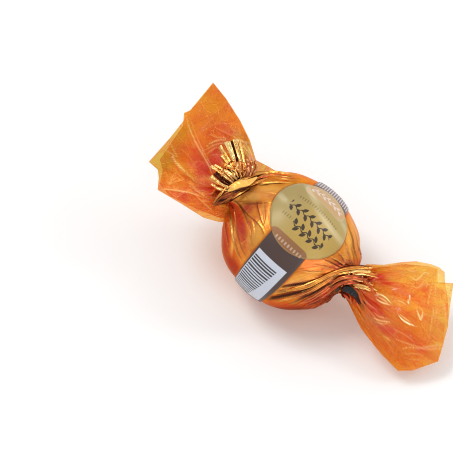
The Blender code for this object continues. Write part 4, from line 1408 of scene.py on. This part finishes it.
def strands():
    left = [
        # upper edge of the collar
        strand([(302, 177.8, -0.60), (293, 175.4, -0.20), (283.5, 173.5, 4.6, 0), (268, 172.2, 3.4, 0), (256, 174, 5.8, 0), (246, 178, 8.6, 0),
                (236, 183, 10.2, 0), (227, 189, 10.4, 0)], [0.3, 0.9, 1.3, 1.6, 1.7, 1.5, 1.2, 0.6], 2, 41, red=0.05, bright=0.9, pale=0.25),
        # middle, redder inside
        strand([(300, 180, -0.15), (286, 177.5, 0.35), (272, 175.8, 5.7, 0), (262, 177, 6.5, 0), (254, 180.5, 8.2, 0)],
               [0.4, 1.1, 1.5, 1.3, 0.5], 2, 42, red=0.5, bright=0.5),
        strand([(299, 181.5, -0.15), (284, 179.6, 0.4), (268, 179.5, 6.9, 0), (257, 182.5, 8.2, 0), (248, 186.5, 9.6, 0)],
               [0.3, 0.9, 1.2, 1.2, 0.8], 2, 43, red=0.12, bright=0.8),
        # dark leaf under it, down to the collar's end
        strand([(246, 187.5, 9.9, 0), (238, 191, 10.6, 0), (230, 195.0, 10.6, 0), (221, 199.5, 9.8, 0), (212.5, 205, 8.4, 0)],
               [0.6, 2.2, 3.0, 2.4, 0.5], 3, 45, dome=0.3, ridge=0.3, red=0.5, bright=0.45, dark=0.48),
        # lower rim
        strand([(298, 184, -0.15), (280, 182.8, 0.4), (264, 183.6, 0.8), (252, 187, 1.0), (243, 192.0, 1.2), (233, 198.2, 10.9, 0),
                (222, 203.2, 9.6, 0), (212.5, 205.8, 8.4, 0)], [0.3, 0.6, 0.7, 0.8, 0.9, 0.8, 0.7, 0.3], 1, 46, dome=0.5, red=0.1, bright=1.0, pale=0.45),
        strand([(226, 188, 10.2, 0), (220, 195, 10.0, 0), (213.5, 203, 9.0, 0)], [0.6, 0.9, 0.4], 1, 47, red=0.2, bright=0.9, pale=0.3),
    ]
    mesh_piece("collar_left", left, WRAPPER)
    # bright leaf, a slack bit of film that catches the light, with a painted highlight of pale gold on it
    leaf = strand([(257, 177.5, 8.9, 0), (250.5, 181.0, 10.1, 0), (243, 184.3, 11.2, 0), (235, 187.2, 11.6, 0), (228, 191.0, 11.0, 0)],
                  [0.6, 2.2, 3.2, 2.7, 0.8], 1, 44, dome=0.26, ridge=0.16, red=0.0, bright=1.0, pale=0.80, tuck=0.4, pull=0.0)
    leaf[1]["slack"] = np.full(leaf[1]["crease"].shape, 0.85)
    mesh_piece("collar_leaf", [leaf], WRAPPER)
    right = [
        strand([(283, 290.8, 0.3), (294, 288.2, 0.6), (306, 285.2, 0.8), (319, 279.3, 1.0), (331, 273.4, 1.1), (344, 269.6, 1.2), (357, 267.6, 13.0, 0), (371, 267.6, 11.6, 0)],
               [0.3, 1.3, 1.8, 1.3, 1.3, 1.8, 1.6, 0.7], 3, 51, red=0.12, bright=0.8, pale=0.0),
        strand([(276, 300.3, 0.3), (288, 297.6, 0.5), (300, 293.8, 0.8), (311, 289.2, 1.0), (321, 283.4, 1.1), (333, 276.4, 1.1), (347, 273, 1.0), (361, 272.4, 13.0, 0), (374, 274, 11.4, 0)],
               [0.3, 1.2, 1.8, 1.7, 1.5, 1.1, 1.5, 1.4, 0.6], 2, 52, red=0.30, bright=0.7),
        strand([(298, 303.6, 0.3), (308, 299.2, 0.6), (319, 292.2, 0.9), (329, 284.8, 1.0), (340, 278.8, 1.0), (352, 277.4, 0.8), (366, 279, 12.2, 0)],
               [0.3, 1.6, 2.2, 2.2, 2.0, 1.6, 0.6], 3, 53, red=0.80, bright=0.45),
        strand([(308, 303.6, 0.3), (319, 298.0, 0.6), (328, 291.6, 0.8), (336.3, 284.8, 0.9), (346.5, 281.6, 0.9), (358, 283, 12.8, 0)],
               [0.3, 1.1, 1.4, 1.6, 1.5, 0.6], 2, 54, red=0.85, bright=0.35, dark=0.10),
        strand([(352, 284.2, 13.2, 0), (358, 285.4, 13.0, 0), (365, 288.0, 12.6, 0), (375, 292.5, 11.6, 0)],
               [0.5, 1.2, 1.3, 0.5], 2, 55, red=0.1, bright=0.9, pale=0.2),
        strand([(341.5, 291.8, 11.4, 0), (345, 295.4, 11.7, 0), (349, 299.6, 11.7, 0), (352.5, 304.5, 11.4, 0)],
               [0.4, 1.1, 1.0, 0.3], 1, 56, dome=0.4, ridge=0.12, red=0.9, bright=0.3, pull=0.3),
    ]
    mesh_piece("collar_right", right, WRAPPER)
    # the mouth of the fold under the right twist, painted near black as its shadow, with painted light of dull red on
    # its sides
    hollow = [
        strand([(334, 290.6, 12.2, 0), (340, 289.0, 13.2, 0), (346.5, 289.3, 13.7, 0), (352, 292.0, 13.6, 0), (356.4, 296.6, 13.2, 0), (360.5, 303, 12.6, 0), (364, 309.5, 12.0, 0)],
               [0.6, 1.5, 2.1, 1.9, 1.1, 0.6, 0.25], 2, 61, dome=0.3, ridge=0.12, red=(0.7, 0.2, 0.0, 0.0, 0.35, 0.8, 1.0), bright=0.0, dark=1.0, hollow=True),
        strand([(357.5, 296, 12.9, 0), (362.5, 301.5, 12.5, 0), (366.5, 307.5, 12.0, 0)],
               [0.3, 0.7, 0.2], 1, 62, dome=0.35, red=0.5, bright=0.0, dark=0.8, hollow=True),
        strand([(353, 296.5, 12.9, 0), (358, 303, 12.5, 0), (362.5, 310.5, 11.9, 0)],
               [0.3, 0.6, 0.2], 1, 63, dome=0.35, red=0.6, bright=0.0, dark=0.7, hollow=True),
    ]
    mesh_piece("fold_mouth_shadow", hollow, FOLD_SHADOW)


# ---- stage ---------------------------------------------------------------------------
def stage():
    mesh = bpy.data.meshes.new("floor")
    half = 1.5
    mesh.from_pydata(
        [(-half, -half, 0), (half, -half, 0), (half, half, 0), (-half, half, 0)], [], [(0, 1, 2, 3)]
    )
    floor = bpy.data.objects.new("floor", mesh)
    bpy.context.scene.collection.objects.link(floor)
    m = Nodes("floor_white")
    m.set(Base_Color=(0.90, 0.90, 0.90, 1), Roughness=0.9)
    mesh.materials.append(m.material)

    sky = bpy.data.worlds.new("studio")
    bpy.context.scene.world = sky
    sky.use_nodes = True
    tree = sky.node_tree
    back = tree.nodes["Background"]
    coord = tree.nodes.new("ShaderNodeTexCoord")
    split = tree.nodes.new("ShaderNodeSeparateXYZ")
    tree.links.new(coord.outputs["Generated"], split.inputs[0])
    ramp = tree.nodes.new("ShaderNodeValToRGB")
    ramp.color_ramp.elements[0].position = 0.0
    ramp.color_ramp.elements[0].color = (0.78, 0.76, 0.74, 1)
    ramp.color_ramp.elements[1].position = 0.7
    ramp.color_ramp.elements[1].color = (0.97, 0.97, 0.97, 1)
    tree.links.new(split.outputs[2], ramp.inputs[0])
    tree.links.new(ramp.outputs[0], back.inputs[0])
    back.inputs[1].default_value = 0.86

    def lamp(name, x, y, z, size, watts, colour=(1, 1, 1)):
        light = bpy.data.lights.new(name, "AREA")
        light.shape = "RECTANGLE"
        light.size, light.size_y = size
        light.energy = watts
        light.color = colour
        obj = bpy.data.objects.new(name, light)
        bpy.context.scene.collection.objects.link(obj)
        place = np.array([x, y, z]) @ LAY
        behind = unit(place)
        right = unit(np.cross((0.0, 0.0, 1.0), behind))
        matrix = np.eye(4)
        matrix[:3, 0], matrix[:3, 1], matrix[:3, 2] = right, np.cross(behind, right), behind
        matrix[:3, 3] = place + CENTRE * 0.001
        obj.matrix_world = Matrix(matrix.tolist())

    lamp("key", -0.30, 0.50, 0.55, (0.30, 0.22), 2.0)
    lamp("side", 0.60, 0.30, 0.45, (0.16, 0.30), 0.9)
    lamp("fill", 0.45, -0.45, 0.50, (0.36, 0.36), 1.3)

    camera_data = bpy.data.cameras.new("camera")
    camera = bpy.data.objects.new("camera", camera_data)
    bpy.context.scene.collection.objects.link(camera)
    bpy.context.scene.camera = camera
    distance = 1.40
    camera_data.sensor_width = 36.0
    camera_data.lens = 36.0 * distance * 1000 / (453.0 / PX)
    camera_data.clip_start, camera_data.clip_end = 0.01, 20.0
    matrix = np.eye(4)
    matrix[:3, :3] = LAY.T
    matrix[:3, 3] = world(spot(226.5, 226.5) + np.array([0, 0, distance * 1000]))
    camera.matrix_world = Matrix(matrix.tolist())
    scene = bpy.context.scene
    scene.view_settings.view_transform = "Standard"
    scene.cycles.filter_width = 1.1
    scene.cycles.transparent_max_bounces = 40
    scene.cycles.max_bounces = 12


ball_film()
label_skin()
strands()
foil()
tails()
stage()
